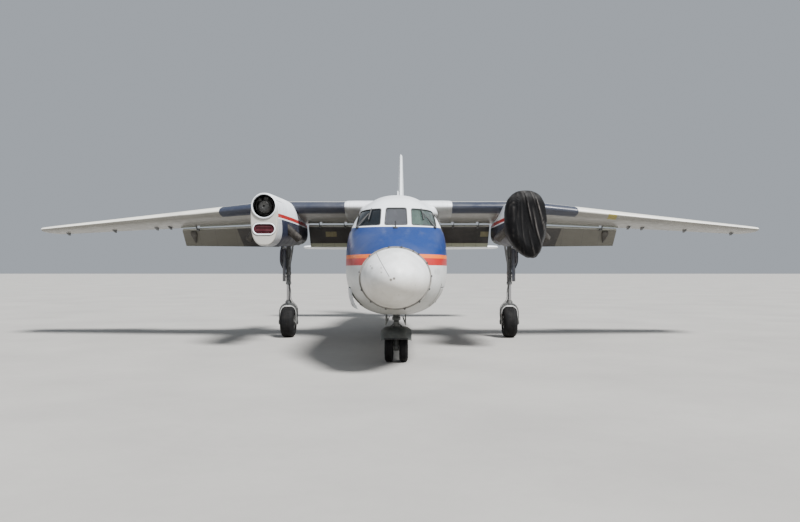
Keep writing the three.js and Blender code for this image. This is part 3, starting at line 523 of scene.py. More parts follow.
def fuselage_paint():
    paint = Recipe("fuselage_paint")
    rise = paint.spread(paint.station, 9.8, 15.2, 0.0, 0.62, "SMOOTHSTEP")
    height = paint.minus(paint.z, rise)
    blue_top = paint.spread(paint.station, 2.05, 3.7, 2.298, 1.93, "SMOOTHSTEP")
    colour = paint.mix(paint.above(height, 1.652), BELLY, RED)
    colour = paint.mix(paint.above(height, 1.766), colour, ORANGE)
    colour = paint.mix(paint.above(height, 1.826), colour, BLUE)
    colour = paint.mix(paint.above(height, blue_top, 0.003), colour, WHITE)
    frames = paint.lines(paint.station, [4.25, 5.2, 7.4, 8.4, 10.2, 11.3, 12.4, 13.6], 0.005)
    stringers = paint.both(paint.lines(paint.z, [1.36, 2.62], 0.004), paint.between(paint.station, 3.3, 12.4))
    keel = paint.both(paint.lines(paint.side, [0.23], 0.006), paint.under(paint.z, 0.98),
        paint.under(paint.station, 1.44))
    chin = paint.both(paint.stroke(paint.x, paint.z, (-0.46, 1.15), (0.52, 1.08), 0.006),
        paint.under(paint.station, 1.4))
    brow = paint.both(paint.lines(paint.station, [2.62], 0.004), paint.above(paint.z, 2.7))
    hatch_gap_and_shadow = paint.both(paint.between(paint.station, 1.405, 1.466), paint.between(paint.z, 1.0, 1.36),
        paint.above(paint.x, 0))
    cheek = paint.both(paint.stroke(paint.station, paint.z, (1.4, 1.31), (1.4, 1.46), 0.016),
        paint.above(paint.x, 0))
    seams = paint.either(frames, stringers, keel, chin, brow, cheek)
    colour = paint.veil(seams, 0.75, colour, SEAM)
    # The hatch's front joint widened into a near black band: a dark joint and its painted shadow.
    colour = paint.mix(hatch_gap_and_shadow, colour, (0.035, 0.033, 0.03))
    smudge = paint.both(paint.spot(paint.x, paint.z, (0.657, 1.554), 0.05, 0.02),
        paint.spread(paint.noise(22.0), 0.4, 0.6, 0.1, 0.55))
    colour = paint.mix(smudge, colour, (0.25, 0.25, 0.25))
    # Patches darker towards the bottom of the fuselage.
    darker_low_patches = paint.both(paint.under(paint.z, 1.35, 0.45), paint.spread(paint.noise(3.2, 6.0, 0.65,
        stretch=(1, 0.35, 1)), 0.4, 0.72, 0.0, 0.55))
    colour = paint.mix(darker_low_patches, colour, (0.16, 0.15, 0.13))
    # Painted shade: faces that look down on the lower fuselage are darkened to a warm grey.
    low = paint.both(paint.below(-0.35, 0.35), paint.under(paint.z, 1.55, 0.15))
    colour = paint.veil(low, 0.6, colour, (0.26, 0.245, 0.205))
    colour = paint.wear(colour, amount=0.16)
    paint.bump(paint.minus(paint.noise(2.2, 2.0, 0.5), paint.times(seams, 0.6)), 0.25, 0.004)
    return paint.done(colour, (0.3, 0.45), Coat_Weight=0.08, Coat_Roughness=0.15)


fuselage_finish = fuselage_paint()
print("fuselage paint", len(fuselage_finish.node_tree.nodes), "nodes")


# %% Radome, plain white and wing paints
def radome_paint():
    paint = Recipe("radome_paint")
    colour = paint.mix(paint.spread(paint.noise(5.0), 0.35, 0.7), (0.78, 0.79, 0.79), (0.66, 0.67, 0.66))
    strip = paint.stroke(paint.x, paint.z, (-0.29, 1.845), (-0.075, 1.485), 0.01)
    colour = paint.mix(strip, colour, (0.12, 0.12, 0.12))
    for centre in [(-0.052, 1.44), (-0.006, 1.458)]:
        colour = paint.mix(paint.spot(paint.x, paint.z, centre, 0.018, 0.008), colour, (0.05, 0.05, 0.05))
    for centre, radius in [((-0.334, 1.608), 0.018), ((-0.195, 1.612), 0.012), ((-0.19, 1.545), 0.014),
            ((-0.36, 1.64), 0.012), ((0.06, 1.22), 0.008), ((0.3, 1.36), 0.008)]:
        colour = paint.veil(paint.spot(paint.x, paint.z, centre, radius, 0.006), 0.55, colour,
            (0.22, 0.21, 0.19))
    low = paint.both(paint.under(paint.z, 1.25, 0.25), paint.spread(paint.noise(6.0), 0.4, 0.7, 0, 0.4))
    colour = paint.mix(low, colour, (0.3, 0.29, 0.27))
    # Painted shade, warmed by painted light reflected from the ground, on faces that look down.
    colour = paint.veil(paint.below(-0.1, 0.5), 0.55, colour, (0.47, 0.41, 0.315))
    colour = paint.wear(colour, scale=2.5)
    paint.bump(paint.noise(3.0), 0.1, 0.003)
    return paint.done(colour, (0.35, 0.55))


def white_paint():
    paint = Recipe("white_paint")
    ribs = paint.lines(paint.side, [0.6, 1.1, 1.7, 2.3, 2.9], 0.004)
    tiers = paint.both(paint.lines(paint.z, [3.35, 3.9, 4.45, 5.0], 0.004), paint.above(paint.z, 3.2))
    seams = paint.either(ribs, tiers)
    colour = paint.mix(paint.times(seams, 0.5), WHITE, SEAM)
    colour = paint.wear(colour)
    paint.dents(2.0, seams)
    return paint.done(colour, (0.24, 0.45), Coat_Weight=0.2, Coat_Roughness=0.15)


def glove_paint():
    paint = Recipe("glove_paint")
    seams = paint.both(paint.lines(paint.side, [0.985, 1.08, 1.155], 0.005), paint.above(paint.side, 0.9))
    colour = paint.mix(paint.times(seams, 0.5), WHITE, SEAM)
    colour = paint.wear(colour)
    # Painted shade: faces that look down are darkened to a mottled grey-brown.
    shade = paint.mix(paint.spread(paint.noise(3.0, 5.0), 0.35, 0.7), (0.21, 0.2, 0.18), (0.14, 0.135, 0.12))
    colour = paint.veil(paint.below(-0.02, 0.22), 0.9, colour, shade)
    paint.dents(2.0, seams)
    return paint.done(colour, (0.28, 0.45), Coat_Weight=0.1, Coat_Roughness=0.2)


def wing_paint():
    paint = Recipe("wing_paint")
    sweep = paint.times(paint.spread(paint.side, 2.95, 8.1, 0.0, 5.15), 0.1689)
    aft = paint.minus(paint.minus(paint.station, 5.83), sweep)
    colour = paint.mix(paint.spread(paint.noise(0.9), 0.4, 0.7), CREAM, (0.62, 0.61, 0.56))
    reach = paint.plus(paint.times(aft, -0.25), 4.02)
    # Painted shade: faces that look down are darkened to a mottled grey-brown.
    shade = paint.mix(paint.spread(paint.noise(1.7, 5.0), 0.35, 0.7), (0.175, 0.165, 0.14),
        (0.13, 0.122, 0.105))
    colour = paint.veil(paint.below(-0.12), 0.85, colour, shade)
    boot = paint.both(paint.under(aft, 0.2), paint.under(paint.side, reach))
    colour = paint.mix(boot, colour, (0.02, 0.026, 0.046))
    spars = paint.lines(aft, [0.34, 0.98, 1.5], 0.005)
    ribs = paint.both(paint.lines(paint.side, [1.7, 2.2, 3.6, 4.3, 5.0, 5.7, 6.4, 7.1, 7.8], 0.005),
        paint.above(aft, 0.2))
    seams = paint.either(spars, ribs)
    colour = paint.veil(seams, 0.55, colour, SEAM)
    fillers = paint.either(paint.spot(paint.side, aft, (3.9, 0.62), 0.05),
        paint.spot(paint.side, aft, (5.4, 0.55), 0.05), paint.spot(paint.side, aft, (1.9, 0.7), 0.05))
    colour = paint.veil(fillers, 0.6, colour, (0.3, 0.3, 0.3))
    patch = paint.both(paint.between(paint.x, 4.72, 4.92), paint.between(aft, -0.05, 0.16),
        paint.below(0.25, 0.1))
    colour = paint.mix(patch, colour, (0.26, 0.215, 0.045))
    soot = paint.both(paint.between(paint.side, 2.15, 3.05, 0.25), paint.above(paint.station, 6.0, 0.5),
        paint.spread(paint.noise(3.0, 6.0, 0.6, stretch=(1, 0.3, 1)), 0.35, 0.7, 0.1, 0.7))
    colour = paint.mix(soot, colour, (0.1, 0.09, 0.08))
    colour = paint.wear(colour, amount=0.22, scale=0.9)
    paint.dents(2.4, seams)
    return paint.done(colour, (0.3, 0.5), Coat_Weight=0.1, Coat_Roughness=0.2)


def flap_paint():
    paint = Recipe("flap_paint")
    # Painted shade: near black for the faces that look down, lighter on the outer flaps.
    colour = paint.mix(paint.spread(paint.noise(1.6), 0.4, 0.7), (0.036, 0.033, 0.031), (0.055, 0.05, 0.046))
    slope = paint.plus(paint.times(paint.minus(paint.z, 2.29), 0.244), 3.885)
    outer = paint.above(paint.side, slope, 0.01)
    colour = paint.mix(outer, colour, (0.135, 0.128, 0.104))
    edge = paint.both(paint.under(paint.z, 2.245), paint.under(paint.side, 2.4))
    colour = paint.mix(edge, colour, (0.44, 0.45, 0.33))
    marks = paint.both(paint.either(paint.between(paint.x, 1.99, 2.19), paint.between(paint.x, -1.8, -1.53)),
        paint.between(paint.z, 2.4, 2.52))
    colour = paint.mix(paint.both(marks, paint.spread(paint.noise(8.0), 0.3, 0.6, 0.4, 0.9)), colour,
        (0.3, 0.27, 0.14))
    # Cream on faces that look up; the painted shade above stays on faces that look down.
    colour = paint.mix(paint.below(0.05, 0.2), CREAM, colour)
    ribs = paint.lines(paint.side, [1.3, 1.6, 1.9, 3.5, 4.0, 4.5, 4.9], 0.005)
    colour = paint.veil(ribs, 0.6, colour, (0.03, 0.03, 0.03))
    colour = paint.wear(colour, amount=0.25, scale=2.0)
    paint.bump(paint.noise(2.4, 2.0), 0.2, 0.004)
    return paint.done(colour, (0.35, 0.6))


radome_finish = radome_paint()
white_finish = white_paint()
glove_finish = glove_paint()
wing_finish = wing_paint()
flap_finish = flap_paint()
print("radome, white, wing and flap paints ready")


# %% Nacelle paint
def nacelle_paint():
    paint = Recipe("nacelle_paint")
    front = paint.under(paint.plus(paint.station, paint.times(paint.z, 0.35)), 5.05)
    colour = paint.mix(front, NAVY, (0.5, 0.51, 0.52))
    colour = paint.mix(paint.above(paint.z, 2.585), colour, WHITE)
    colour = paint.mix(paint.between(paint.z, 2.612, 2.688), colour, RED)
    lip = paint.under(paint.station, 3.9)
    colour = paint.mix(lip, colour, (0.66, 0.68, 0.7))
    # Painted shade on the lower front of the cowl, a warm grey veil.
    film_and_painted_shade = paint.both(lip, paint.under(paint.z, 2.8, 0.12))
    colour = paint.veil(film_and_painted_shade, 0.75, colour, (0.36, 0.335, 0.28))
    rings = paint.lines(paint.station, [4.02, 4.62, 5.25, 6.05, 7.0, 8.0], 0.006)
    split = paint.both(paint.lines(paint.z, [2.5], 0.005), paint.between(paint.station, 3.9, 5.25))
    latch_line = paint.both(paint.lines(paint.z, [2.945], 0.014), paint.between(paint.station, 3.9, 4.386))
    drop_line = paint.both(paint.lines(paint.station, [4.38], 0.012), paint.between(paint.z, 2.6, 2.945))
    panel = paint.both(paint.either(latch_line, drop_line), paint.under(paint.side, 2.6))
    across = paint.math("MAXIMUM", paint.minus(paint.math("ABSOLUTE", paint.minus(paint.side, 2.6)), 0.107),
        0.0)
    down = paint.minus(paint.z, 2.38)
    away = paint.math("SQRT", paint.plus(paint.times(across, across), paint.times(down, down)))
    # A thin ring round the intake, sunk like a seam and painted dark as the shadow line round the lip.
    groove = paint.both(paint.between(away, 0.124, 0.133), paint.under(paint.station, 3.88))
    seams = paint.either(rings, split, panel, groove)
    colour = paint.veil(seams, 0.8, colour, (0.05, 0.05, 0.05))
    soot = paint.both(paint.between(paint.station, 4.9, 8.6, 0.4), paint.under(paint.z, 2.5, 0.25),
        paint.spread(paint.noise(3.4, 6.0, 0.6, stretch=(1, 0.3, 1)), 0.38, 0.7, 0.0, 0.75))
    colour = paint.mix(soot, colour, (0.05, 0.045, 0.04))
    colour = paint.wear(colour, amount=0.22, scale=2.2)
    paint.dents(3.0, seams, 0.003)
    return paint.done(colour, (0.38, 0.55), Specular_IOR_Level=0.3)


nacelle_finish = nacelle_paint()
print("nacelle paint", len(nacelle_finish.node_tree.nodes), "nodes")


# %% Metals, rubber, glass, cloth and the rest
def plain(name, light, dark, roughness, metallic=0.0, scale=6.0, bump=0.1, dirt=0.2, **sockets):
    """Two close colours in patches, with grime, grain and a roughness that wanders."""
    recipe = Recipe(name)
    colour = recipe.mix(recipe.spread(recipe.noise(scale), 0.35, 0.7), light, dark)
    colour = recipe.wear(colour, amount=dirt, scale=scale * 0.6)
    if bump:
        recipe.bump(recipe.noise(scale * 14, 3.0), bump, 0.001)
    return recipe.done(colour, roughness, metallic, grain=scale * 8, **sockets)


gear_finish = plain("gear_paint", (0.17, 0.175, 0.178), (0.105, 0.11, 0.112), (0.35, 0.6), scale=9.0,
    dirt=0.45)
# A darker copy of the gear paint: painted shade for the nose leg, its fork and its doors under the nose.
shaded_nose_gear_finish = plain("nose_gear_shaded_paint", (0.105, 0.112, 0.105), (0.06, 0.064, 0.06), (0.35, 0.6),
    scale=9.0, dirt=0.45)
chrome_finish = plain("piston_chrome", (0.42, 0.42, 0.43), (0.32, 0.32, 0.33), (0.08, 0.22), 1.0, 12.0, 0.03,
    0.1)
steel_finish = plain("engine_metal", (0.05, 0.048, 0.046), (0.022, 0.021, 0.02), (0.4, 0.65), 0.5, 9.0, 0.15,
    0.2)
shaft_finish = plain("shaft_metal", (0.085, 0.084, 0.082), (0.05, 0.049, 0.048), (0.3, 0.5), 0.9, 14.0, 0.1,
    0.2)
burnt_finish = plain("exhaust_metal", (0.055, 0.048, 0.043), (0.025, 0.022, 0.02), (0.45, 0.7), 0.7, 11.0,
    0.2, 0.5)
hub_finish = plain("wheel_paint", (0.52, 0.53, 0.52), (0.4, 0.4, 0.39), (0.35, 0.6), 0.1, 14.0, 0.1, 0.55)
dark_finish = plain("dark_trim", (0.035, 0.036, 0.038), (0.022, 0.023, 0.025), (0.5, 0.75), 0.0, 20.0, 0.15,
    0.2)
sealant_finish = plain("seam_sealant", (0.24, 0.23, 0.21), (0.13, 0.125, 0.115), (0.6, 0.85), 0.0, 14.0, 0.1,
    0.3)
gasket_finish = plain("window_rubber", (0.018, 0.018, 0.019), (0.03, 0.03, 0.03), (0.6, 0.85), 0.0, 30.0, 0.2,
    0.25)
primer_finish = plain("bay_primer", (0.28, 0.3, 0.26), (0.2, 0.22, 0.19), (0.5, 0.75), 0.0, 7.0, 0.1, 0.5)
plug_finish = plain("plug_red", (0.055, 0.003, 0.009), (0.034, 0.002, 0.006), (0.6, 0.85), 0.0, 12.0, 0.3,
    0.12, Specular_IOR_Level=0.2)
lining_finish = plain("cockpit_trim", (0.045, 0.047, 0.05), (0.03, 0.031, 0.034), (0.6, 0.85), 0.0, 18.0, 0.3,
    0.2)
leather_finish = plain("seat_trim", (0.085, 0.085, 0.09), (0.06, 0.06, 0.065), (0.45, 0.65), 0.0, 25.0, 0.4,
    0.2)
shade_finish = plain("sun_shade", (0.2, 0.28, 0.24), (0.15, 0.21, 0.18), (0.6, 0.8), 0.0, 10.0, 0.1, 0.2)
grey_shade_finish = plain("grey_shade", (0.1, 0.1, 0.112), (0.075, 0.075, 0.085), (0.6, 0.8), 0.0, 10.0, 0.1,
    0.2)


def tyre_rubber():
    recipe = Recipe("tyre_rubber")
    dust = recipe.spread(recipe.noise(9.0, 6.0, 0.6), 0.4, 0.75, 0.0, 0.6)
    colour = recipe.mix(dust, (0.004, 0.004, 0.0045), (0.016, 0.0145, 0.013))
    low = recipe.under(recipe.z, 0.05, 0.05)
    colour = recipe.mix(recipe.times(low, 0.5), colour, (0.04, 0.036, 0.03))
    recipe.bump(recipe.noise(120.0, 3.0), 0.3, 0.001)
    return recipe.done(colour, (0.7, 0.9), Specular_IOR_Level=0.2)


def cockpit_glass():
    recipe = Recipe("glazing")
    film_and_painted_shade = recipe.spread(recipe.noise(4.0, 5.0, 0.6), 0.4, 0.8, 0.0, 0.5)
    colour = recipe.mix(film_and_painted_shade, (0.4, 0.5, 0.47), (0.5, 0.56, 0.53))
    colour = recipe.mix(recipe.both(recipe.above(recipe.x, -0.21), recipe.under(recipe.x, 0.21)), colour,
        (0.46, 0.47, 0.5))
    # Painted shade: the right pane's glass is tinted dark for the dark cockpit behind it.
    colour = recipe.mix(recipe.under(recipe.x, -0.21, 0.01), colour, (0.055, 0.075, 0.095))
    return recipe.done(colour, (0.03, 0.12), Transmission_Weight=0.92, IOR=1.48)


def cabin_glass():
    recipe = Recipe("cabin_glass")
    # Painted shade: the cabin windows are opaque and nearly black for the dark cabin behind them.
    colour = recipe.mix(recipe.spread(recipe.noise(3.0), 0.4, 0.7), (0.012, 0.016, 0.02),
        (0.03, 0.034, 0.038))
    return recipe.done(colour, (0.05, 0.16), Coat_Weight=0.6, Coat_Roughness=0.04)


def cover_cloth():
    recipe = Recipe("cover_fabric")
    weave = recipe.node("ShaderNodeTexWave")
    weave.wave_type = "BANDS"
    weave.bands_direction = "Z"
    recipe.join(recipe.place, weave.inputs["Vector"])
    recipe.fill(weave, Scale=60.0, Distortion=1.5)
    ridge = recipe.node("ShaderNodeAttribute")
    ridge.attribute_name = "fold"
    crease = recipe.spread(recipe.noise(3.0, 5.0, 0.6, stretch=(5.0, 5.0, 0.5), distortion=0.8), 0.4, 0.7)
    # Painted highlight along the crests of the folds.
    shine = recipe.both(recipe.math("POWER", ridge.outputs["Fac"], 1.4), crease)
    colour = recipe.mix(shine, (0.0014, 0.0014, 0.0019), (0.15, 0.138, 0.128))
    # Painted light: the crown of the cover is lighter where the light falls on it.
    crown = recipe.both(recipe.above(recipe.z, 2.99, 0.14), recipe.spread(recipe.noise(6.0), 0.4, 0.7, 0.1,
        0.5))
    colour = recipe.mix(crown, colour, (0.105, 0.102, 0.098))
    colour = recipe.wear(colour, (0.02, 0.019, 0.018), 0.25, 3.0)
    recipe.bump(recipe.plus(recipe.times(weave.outputs["Fac"], 0.1),
        recipe.noise(14.0, 5.0, 0.6, stretch=(1, 1, 0.4))), 0.5, 0.01)
    return recipe.done(colour, (0.5, 0.7), Specular_IOR_Level=0.13, Sheen_Weight=0.02, Sheen_Roughness=0.4)


def lamp(name, colour):
    recipe = Recipe(name)
    tint = recipe.mix(recipe.spread(recipe.noise(20.0), 0.3, 0.7), colour, tuple(0.7 * c for c in colour))
    return recipe.done(tint, (0.05, 0.15), Transmission_Weight=0.5, IOR=1.45)


tyre_finish = tyre_rubber()
glass_finish = cockpit_glass()
pane_finish = cabin_glass()
cloth_finish = cover_cloth()
red_lamp = lamp("red_lamp", (0.62, 0.03, 0.02))
clear_lamp = lamp("clear_lamp", (0.85, 0.87, 0.88))
print("materials", len(bpy.data.materials))

# %% [markdown]
# ## The fuselage sections
# The fuselage is a row of ovals, each with a half width, a top, a bottom, a widest height, and a power
# for its upper and its lower half that makes it rounder or more square. Between the rows the numbers
# run smoothly. The same table drives the solids, so the skins lie on them.

# %% Sections of the fuselage, the nacelles and the root fairing
# station, half width, top, bottom, widest height, power above, power below
FUSELAGE = [
    (0.75, 0.533, 1.919, 0.993, 1.456, 2.0, 2.0),
    (1.2, 0.7, 2.12, 0.885, 1.5, 2.2, 2.2),
    (1.65, 0.8, 2.3, 0.84, 1.56, 2.9, 2.4),
    (2.08, 0.86, 2.66, 0.815, 1.64, 2.7, 2.45),
    (2.5, 0.885, 2.85, 0.81, 1.7, 2.4, 2.45),
    (3.3, 0.9, 2.97, 0.81, 1.73, 2.3, 2.45),
    (9.6, 0.9, 2.97, 0.81, 1.73, 2.3, 2.45),
    (10.2, 0.89, 2.968, 0.845, 1.76, 2.3, 2.4),
    (11.0, 0.84, 2.955, 0.98, 1.84, 2.2, 2.3),
    (12.5, 0.66, 2.89, 1.36, 2.05, 2.1, 2.2),
    (13.5, 0.49, 2.82, 1.66, 2.18, 2.0, 2.1),
    (14.5, 0.28, 2.7, 2.02, 2.33, 2.0, 2.0),
    (15.2, 0.11, 2.61, 2.32, 2.46, 2.0, 2.0),
]
NACELLE_X = 2.6
NACELLE = [
    (3.85, 0.262, 3.086, 2.062, 2.64, 2.5, 2.8),
    (4.1, 0.296, 3.092, 2.05, 2.56, 2.6, 2.7),
    (4.6, 0.324, 3.1, 2.06, 2.52, 2.7, 2.7),
    (5.25, 0.352, 3.112, 2.085, 2.52, 2.7, 2.8),
    (5.8, 0.362, 3.12, 2.1, 2.52, 2.7, 2.8),
    (6.2, 0.364, 3.11, 2.112, 2.52, 2.7, 2.8),
    (6.6, 0.368, 3.01, 2.12, 2.5, 2.7, 2.8),
    (7.4, 0.374, 2.88, 2.15, 2.48, 2.7, 2.8),
    (8.1, 0.3, 2.8, 2.25, 2.5, 2.5, 2.5),
    (8.7, 0.18, 2.745, 2.4, 2.56, 2.2, 2.2),
    (9.1, 0.07, 2.69, 2.51, 2.59, 2.0, 2.0),
]
FAIRING = [
    (5.0, 0.3, 2.98, 2.7, 2.85, 2.2, 2.0),
    (5.35, 0.62, 3.05, 2.6, 2.83, 2.4, 1.6),
    (5.83, 0.86, 3.125, 2.48, 2.8, 2.6, 1.5),
    (6.6, 0.93, 3.148, 2.44, 2.79, 2.6, 1.5),
    (7.35, 0.93, 3.125, 2.44, 2.77, 2.6, 1.5),
    (8.11, 0.9, 3.07, 2.46, 2.74, 2.5, 1.5),
    (8.7, 0.64, 3.01, 2.56, 2.74, 2.3, 1.8),
    (9.15, 0.34, 2.96, 2.7, 2.8, 2.2, 2.0),
]


def section_at(table, station):
    """A row at any station, smooth between the rows and never past them."""
    last = len(table) - 1
    k = next((i for i in range(last) if station <= table[i + 1][0]), last - 1)
    a, b = table[k], table[k + 1]
    step = b[0] - a[0]
    t = (station - a[0]) / step

    def slope(i, c):
        if i <= 0 or i >= last:
            return None
        before = (table[i][c] - table[i - 1][c]) / (table[i][0] - table[i - 1][0])
        after = (table[i + 1][c] - table[i][c]) / (table[i + 1][0] - table[i][0])
        return 0.0 if before * after <= 0 else 2 * before * after / (before + after)

    row = [station]
    for c in range(1, len(a)):
        straight = (b[c] - a[c]) / step
        m0, m1 = slope(k, c), slope(k + 1, c)
        m0 = straight if m0 is None else m0
        m1 = straight if m1 is None else m1
        row.append((2 * t**3 - 3 * t**2 + 1) * a[c] + (t**3 - 2 * t**2 + t) * step * m0
            + (3 * t**2 - 2 * t**3) * b[c] + (t**3 - t**2) * step * m1)
    return row


def oval(row, centre=0.0, inset=0.0, count=96):
    """One ring of a section row."""
    station, half, top, bottom, wide, up, down = row
    half, top, bottom = half - inset, top - inset, bottom + inset
    ring = []
    for i in range(count):
        c, s = cos(2 * pi * i / count), sin(2 * pi * i / count)
        power = 2 / (up if s >= 0 else down)
        height = top - wide if s >= 0 else wide - bottom
        ring.append(at(centre + copysign(abs(c) ** power, c) * half, station,
            wide + copysign(abs(s) ** power, s) * height))
    return ring


def span(start, end, step):
    """Evenly spaced places from start to end."""
    count = max(1, round((end - start) / step))
    return [start + (end - start) * i / count for i in range(count + 1)]


def hull(name, table, stations, inset=0.0, centre=0.0, count=96):
    return skin(name, [oval(section_at(table, s), centre, inset, count) for s in stations])


def side_at(station, z, table=FUSELAGE):
    """Half width of the body at a station and a height."""
    _, half, top, bottom, wide, up, down = section_at(table, station)
    height, power = (top - wide, up) if z >= wide else (wide - bottom, down)
    return half * max(0.0, 1 - (abs(z - wide) / height) ** power) ** (1 / power)


def nose_place(x, z, proud=0.0):
    """The place on the front of the nose behind a point seen from ahead."""
    low, high = 0.75, 3.3
    for _ in range(40):
        middle = (low + high) / 2
        row = section_at(FUSELAGE, middle)
        inside = row[3] < z < row[2] and abs(x) < side_at(middle, z)
        low, high = (low, middle) if inside else (middle, high)
    d = 0.004
    here = at(x, high, z)
    if proud:
        across = nose_place(x + d, z) - nose_place(x - d, z)
        upward = nose_place(x, z + d) - nose_place(x, z - d)
        normal = upward.cross(across).normalized()
        if normal.y > 0:
            normal = -normal
        here += normal * proud
    return here


print("windscreen foot at station", round(nose_place(0, 2.34).y + LENGTH / 2, 2))

# %% [markdown]
# ## The nose
# A radome closes the front: a bulged plastic cap a little wider than the skin, held by latches. Behind
# it the nose is a shell around the cockpit, with a wheel bay and two lockers. The rooms and windows
# are cut out of the solid skin, each with its own lining.


# %% Outlines with round corners
def moved_in(corners, distance):
    """A convex outline with every edge moved inwards."""
    count = len(corners)
    area = sum(corners[i][0] * corners[(i + 1) % count][1] - corners[(i + 1) % count][0] * corners[i][1]
        for i in range(count))
    sign = 1 if area > 0 else -1
    result = []
    for i in range(count):
        (ax, ay), (bx, by), (cx, cy) = corners[i - 1], corners[i], corners[(i + 1) % count]
        u, v = Vector((bx - ax, by - ay)).normalized(), Vector((cx - bx, cy - by)).normalized()
        nu, nv = Vector((-u.y, u.x)) * sign, Vector((-v.y, v.x)) * sign
        share = distance / (1 + nu.dot(nv))
        result.append((bx + (nu.x + nv.x) * share, by + (nu.y + nv.y) * share))
    return result


def round_corners(corners, radius, steps=5):
    """Each corner as a small curve."""
    count, result = len(corners), []
    for i in range(count):
        here, before, after = Vector(corners[i]), Vector(corners[i - 1]), Vector(corners[(i + 1) % count])
        start = here + (before - here).normalized() * radius
        end = here + (after - here).normalized() * radius
        for k in range(steps + 1):
            t = k / steps
            spot = start * (1 - t) ** 2 + here * 2 * t * (1 - t) + end * t**2
            result.append((spot.x, spot.y))
    return result


print("outline helpers ready")

# %% The radome and its latches
RADOME = {"half": 0.556, "depth": 0.483, "centre": 1.455, "reach": 1.05, "length": 0.7496}
radome_rings = []
for k in range(33):
    station = RADOME["length"] * (k / 32) ** 1.8
    share = sqrt(max(0.0, 1 - ((RADOME["reach"] - station) / RADOME["reach"]) ** 2))
    high = RADOME["depth"] * share
    radome_rings.append(oval((station, RADOME["half"] * share, RADOME["centre"] + high,
        RADOME["centre"] - high, RADOME["centre"], 2, 2)))
radome = skin("radome_cap", radome_rings)
rounded(radome, 0.006, 2, 40)
fixed(radome, radome_finish, "radome_paint", ["radome"])

edge = RADOME["centre"]
seam_rings = [oval((station, half, edge + half - 0.073, edge - half + 0.073, edge, 2, 2))
    for station, half in [(0.75, 0.548), (0.7502, 0.558), (0.7515, 0.5595), (0.756, 0.5595), (0.7575, 0.558),
    (0.7585, 0.535), (0.75, 0.535), (0.75, 0.548)]]
fixed(skin("radome_seam", seam_rings, ends=False), sealant_finish, "radome_paint")

latches = []
for degrees in [169, 135, 100, 80, 60, 50, 29, 4, -20, -48, -75, -105, -132, -158]:
    turn = radians(degrees)
    latch = block(f"latch_{degrees}", (-0.014, 0.014), (0.741, 0.768), (-0.003, 0.0145), 0.003)
    foot = Vector((RADOME["half"] * cos(turn), 0.0, RADOME["centre"] + RADOME["depth"] * sin(turn)))
    latch.data.transform(Matrix.Translation(foot) @ Matrix.Rotation(radians(90) - turn, 4, "Y"))
    latches.append(latch)
fixed(joined("radome_latches", *latches), dark_finish, "radome_paint")

# %% The shell of the nose
SKIN = 0.045
FRONT_PANES = [
    [(-0.2, 2.322), (0.2, 2.322), (0.18, 2.652), (-0.18, 2.652)],
    [(0.256, 2.32), (0.688, 2.312), (0.65, 2.622), (0.246, 2.642)],
    [(-0.688, 2.312), (-0.256, 2.32), (-0.246, 2.642), (-0.65, 2.622)],
]
SIDE_PANES = [
    [(2.1, 2.23), (2.61, 2.23), (2.61, 2.58), (2.33, 2.58)],
    [(2.69, 2.23), (3.04, 2.23), (3.01, 2.58), (2.69, 2.58)],
]


def pane_cutters(tag, inset):
    """The windows' outlines as prisms that cross the skin, each moved in by an inset."""
    cutters = []
    for k, corners in enumerate(FRONT_PANES):
        outline = round_corners(moved_in(corners, inset), 0.045 - inset * 0.6)
        cutters.append(prism(f"{tag}_{k}", [at(x, 1.3, z) for x, z in outline], (0, 1.42, 0)))
    for k, corners in enumerate(SIDE_PANES):
        outline = round_corners(moved_in(corners, inset), 0.04 - inset * 0.6)
        for side in (1, -1):
            cutters.append(prism(f"{tag}_side_{k}_{side}", [at(side * 0.42, s, z) for s, z in outline],
                (side * 0.78, 0, 0)))
    return cutters


nose = hull("nose_shell", FUSELAGE, span(0.75, 3.2998, 0.05), count=112)
lined(fuselage_finish, nose)
room = hull("cockpit_room", FUSELAGE, span(1.72, 3.31, 0.1), inset=SKIN, count=72)
cut(room, block("below_floor", (-1, 1), (1.6, 3.4), (0.7, 1.36)))
lined(lining_finish, room)
bay = block("wheel_bay", (-0.17, 0.17), (1.44, 2.33), (0.7, 1.15))
lined(primer_finish, bay)
lockers = [block(f"locker_{side}", sorted((side * 0.23, side * 1.0)), (1.46, 2.1), (1.0, 1.3))
    for side in (1, -1)]
lined(primer_finish, *lockers)
windows = pane_cutters("window_hole", 0.0)
lined(fuselage_finish, *windows)
cut(nose, room, bay, *lockers, *windows)
fixed(nose, None, "nose_paint", ["fuselage_nose"])

# %% Glass and rubber in the cockpit windows
panes, rims = [], []
for cutter, inner in zip(pane_cutters("pane_cut", 0.001), pane_cutters("rim_cut", 0.016)):
    near = hull("near", FUSELAGE, span(1.5, 3.2, 0.1), inset=0.01, count=72)
    far = hull("far", FUSELAGE, span(1.45, 3.25, 0.1), inset=0.022, count=72)
    sheet = cut(near, far)
    panes.append(cut(sheet, copied(inner, "pane_inner"), how="INTERSECT"))
    near = hull("near", FUSELAGE, span(1.5, 3.2, 0.1), inset=-0.001, count=72)
    far = hull("far", FUSELAGE, span(1.45, 3.25, 0.1), inset=0.03, count=72)
    ring = cut(near, far)
    cut(ring, cutter, how="INTERSECT")
    rims.append(cut(ring, inner))
windscreen = joined("cockpit_windows", *panes)
fixed(windscreen, glass_finish, "glazing", ["cockpit_glazing"])
fixed(joined("cockpit_window_rubber", *rims), gasket_finish, "cockpit_trim")

# %% [markdown]
# ## The cabin and the tail
# The cabin keeps one section for six metres, then the tail tapers upwards. Seven windows a side are
# let into it. The passenger door opens downwards, carries its own steps, and sits in a recess.

# %% The cabin with its windows
DOOR = {"front": 8.72, "back": 9.58, "sill": 1.05, "head": 2.4, "thick": 0.045}
WINDOW_STATIONS = [4.35, 5.02, 5.69, 6.36, 7.03, 7.7, 8.25]


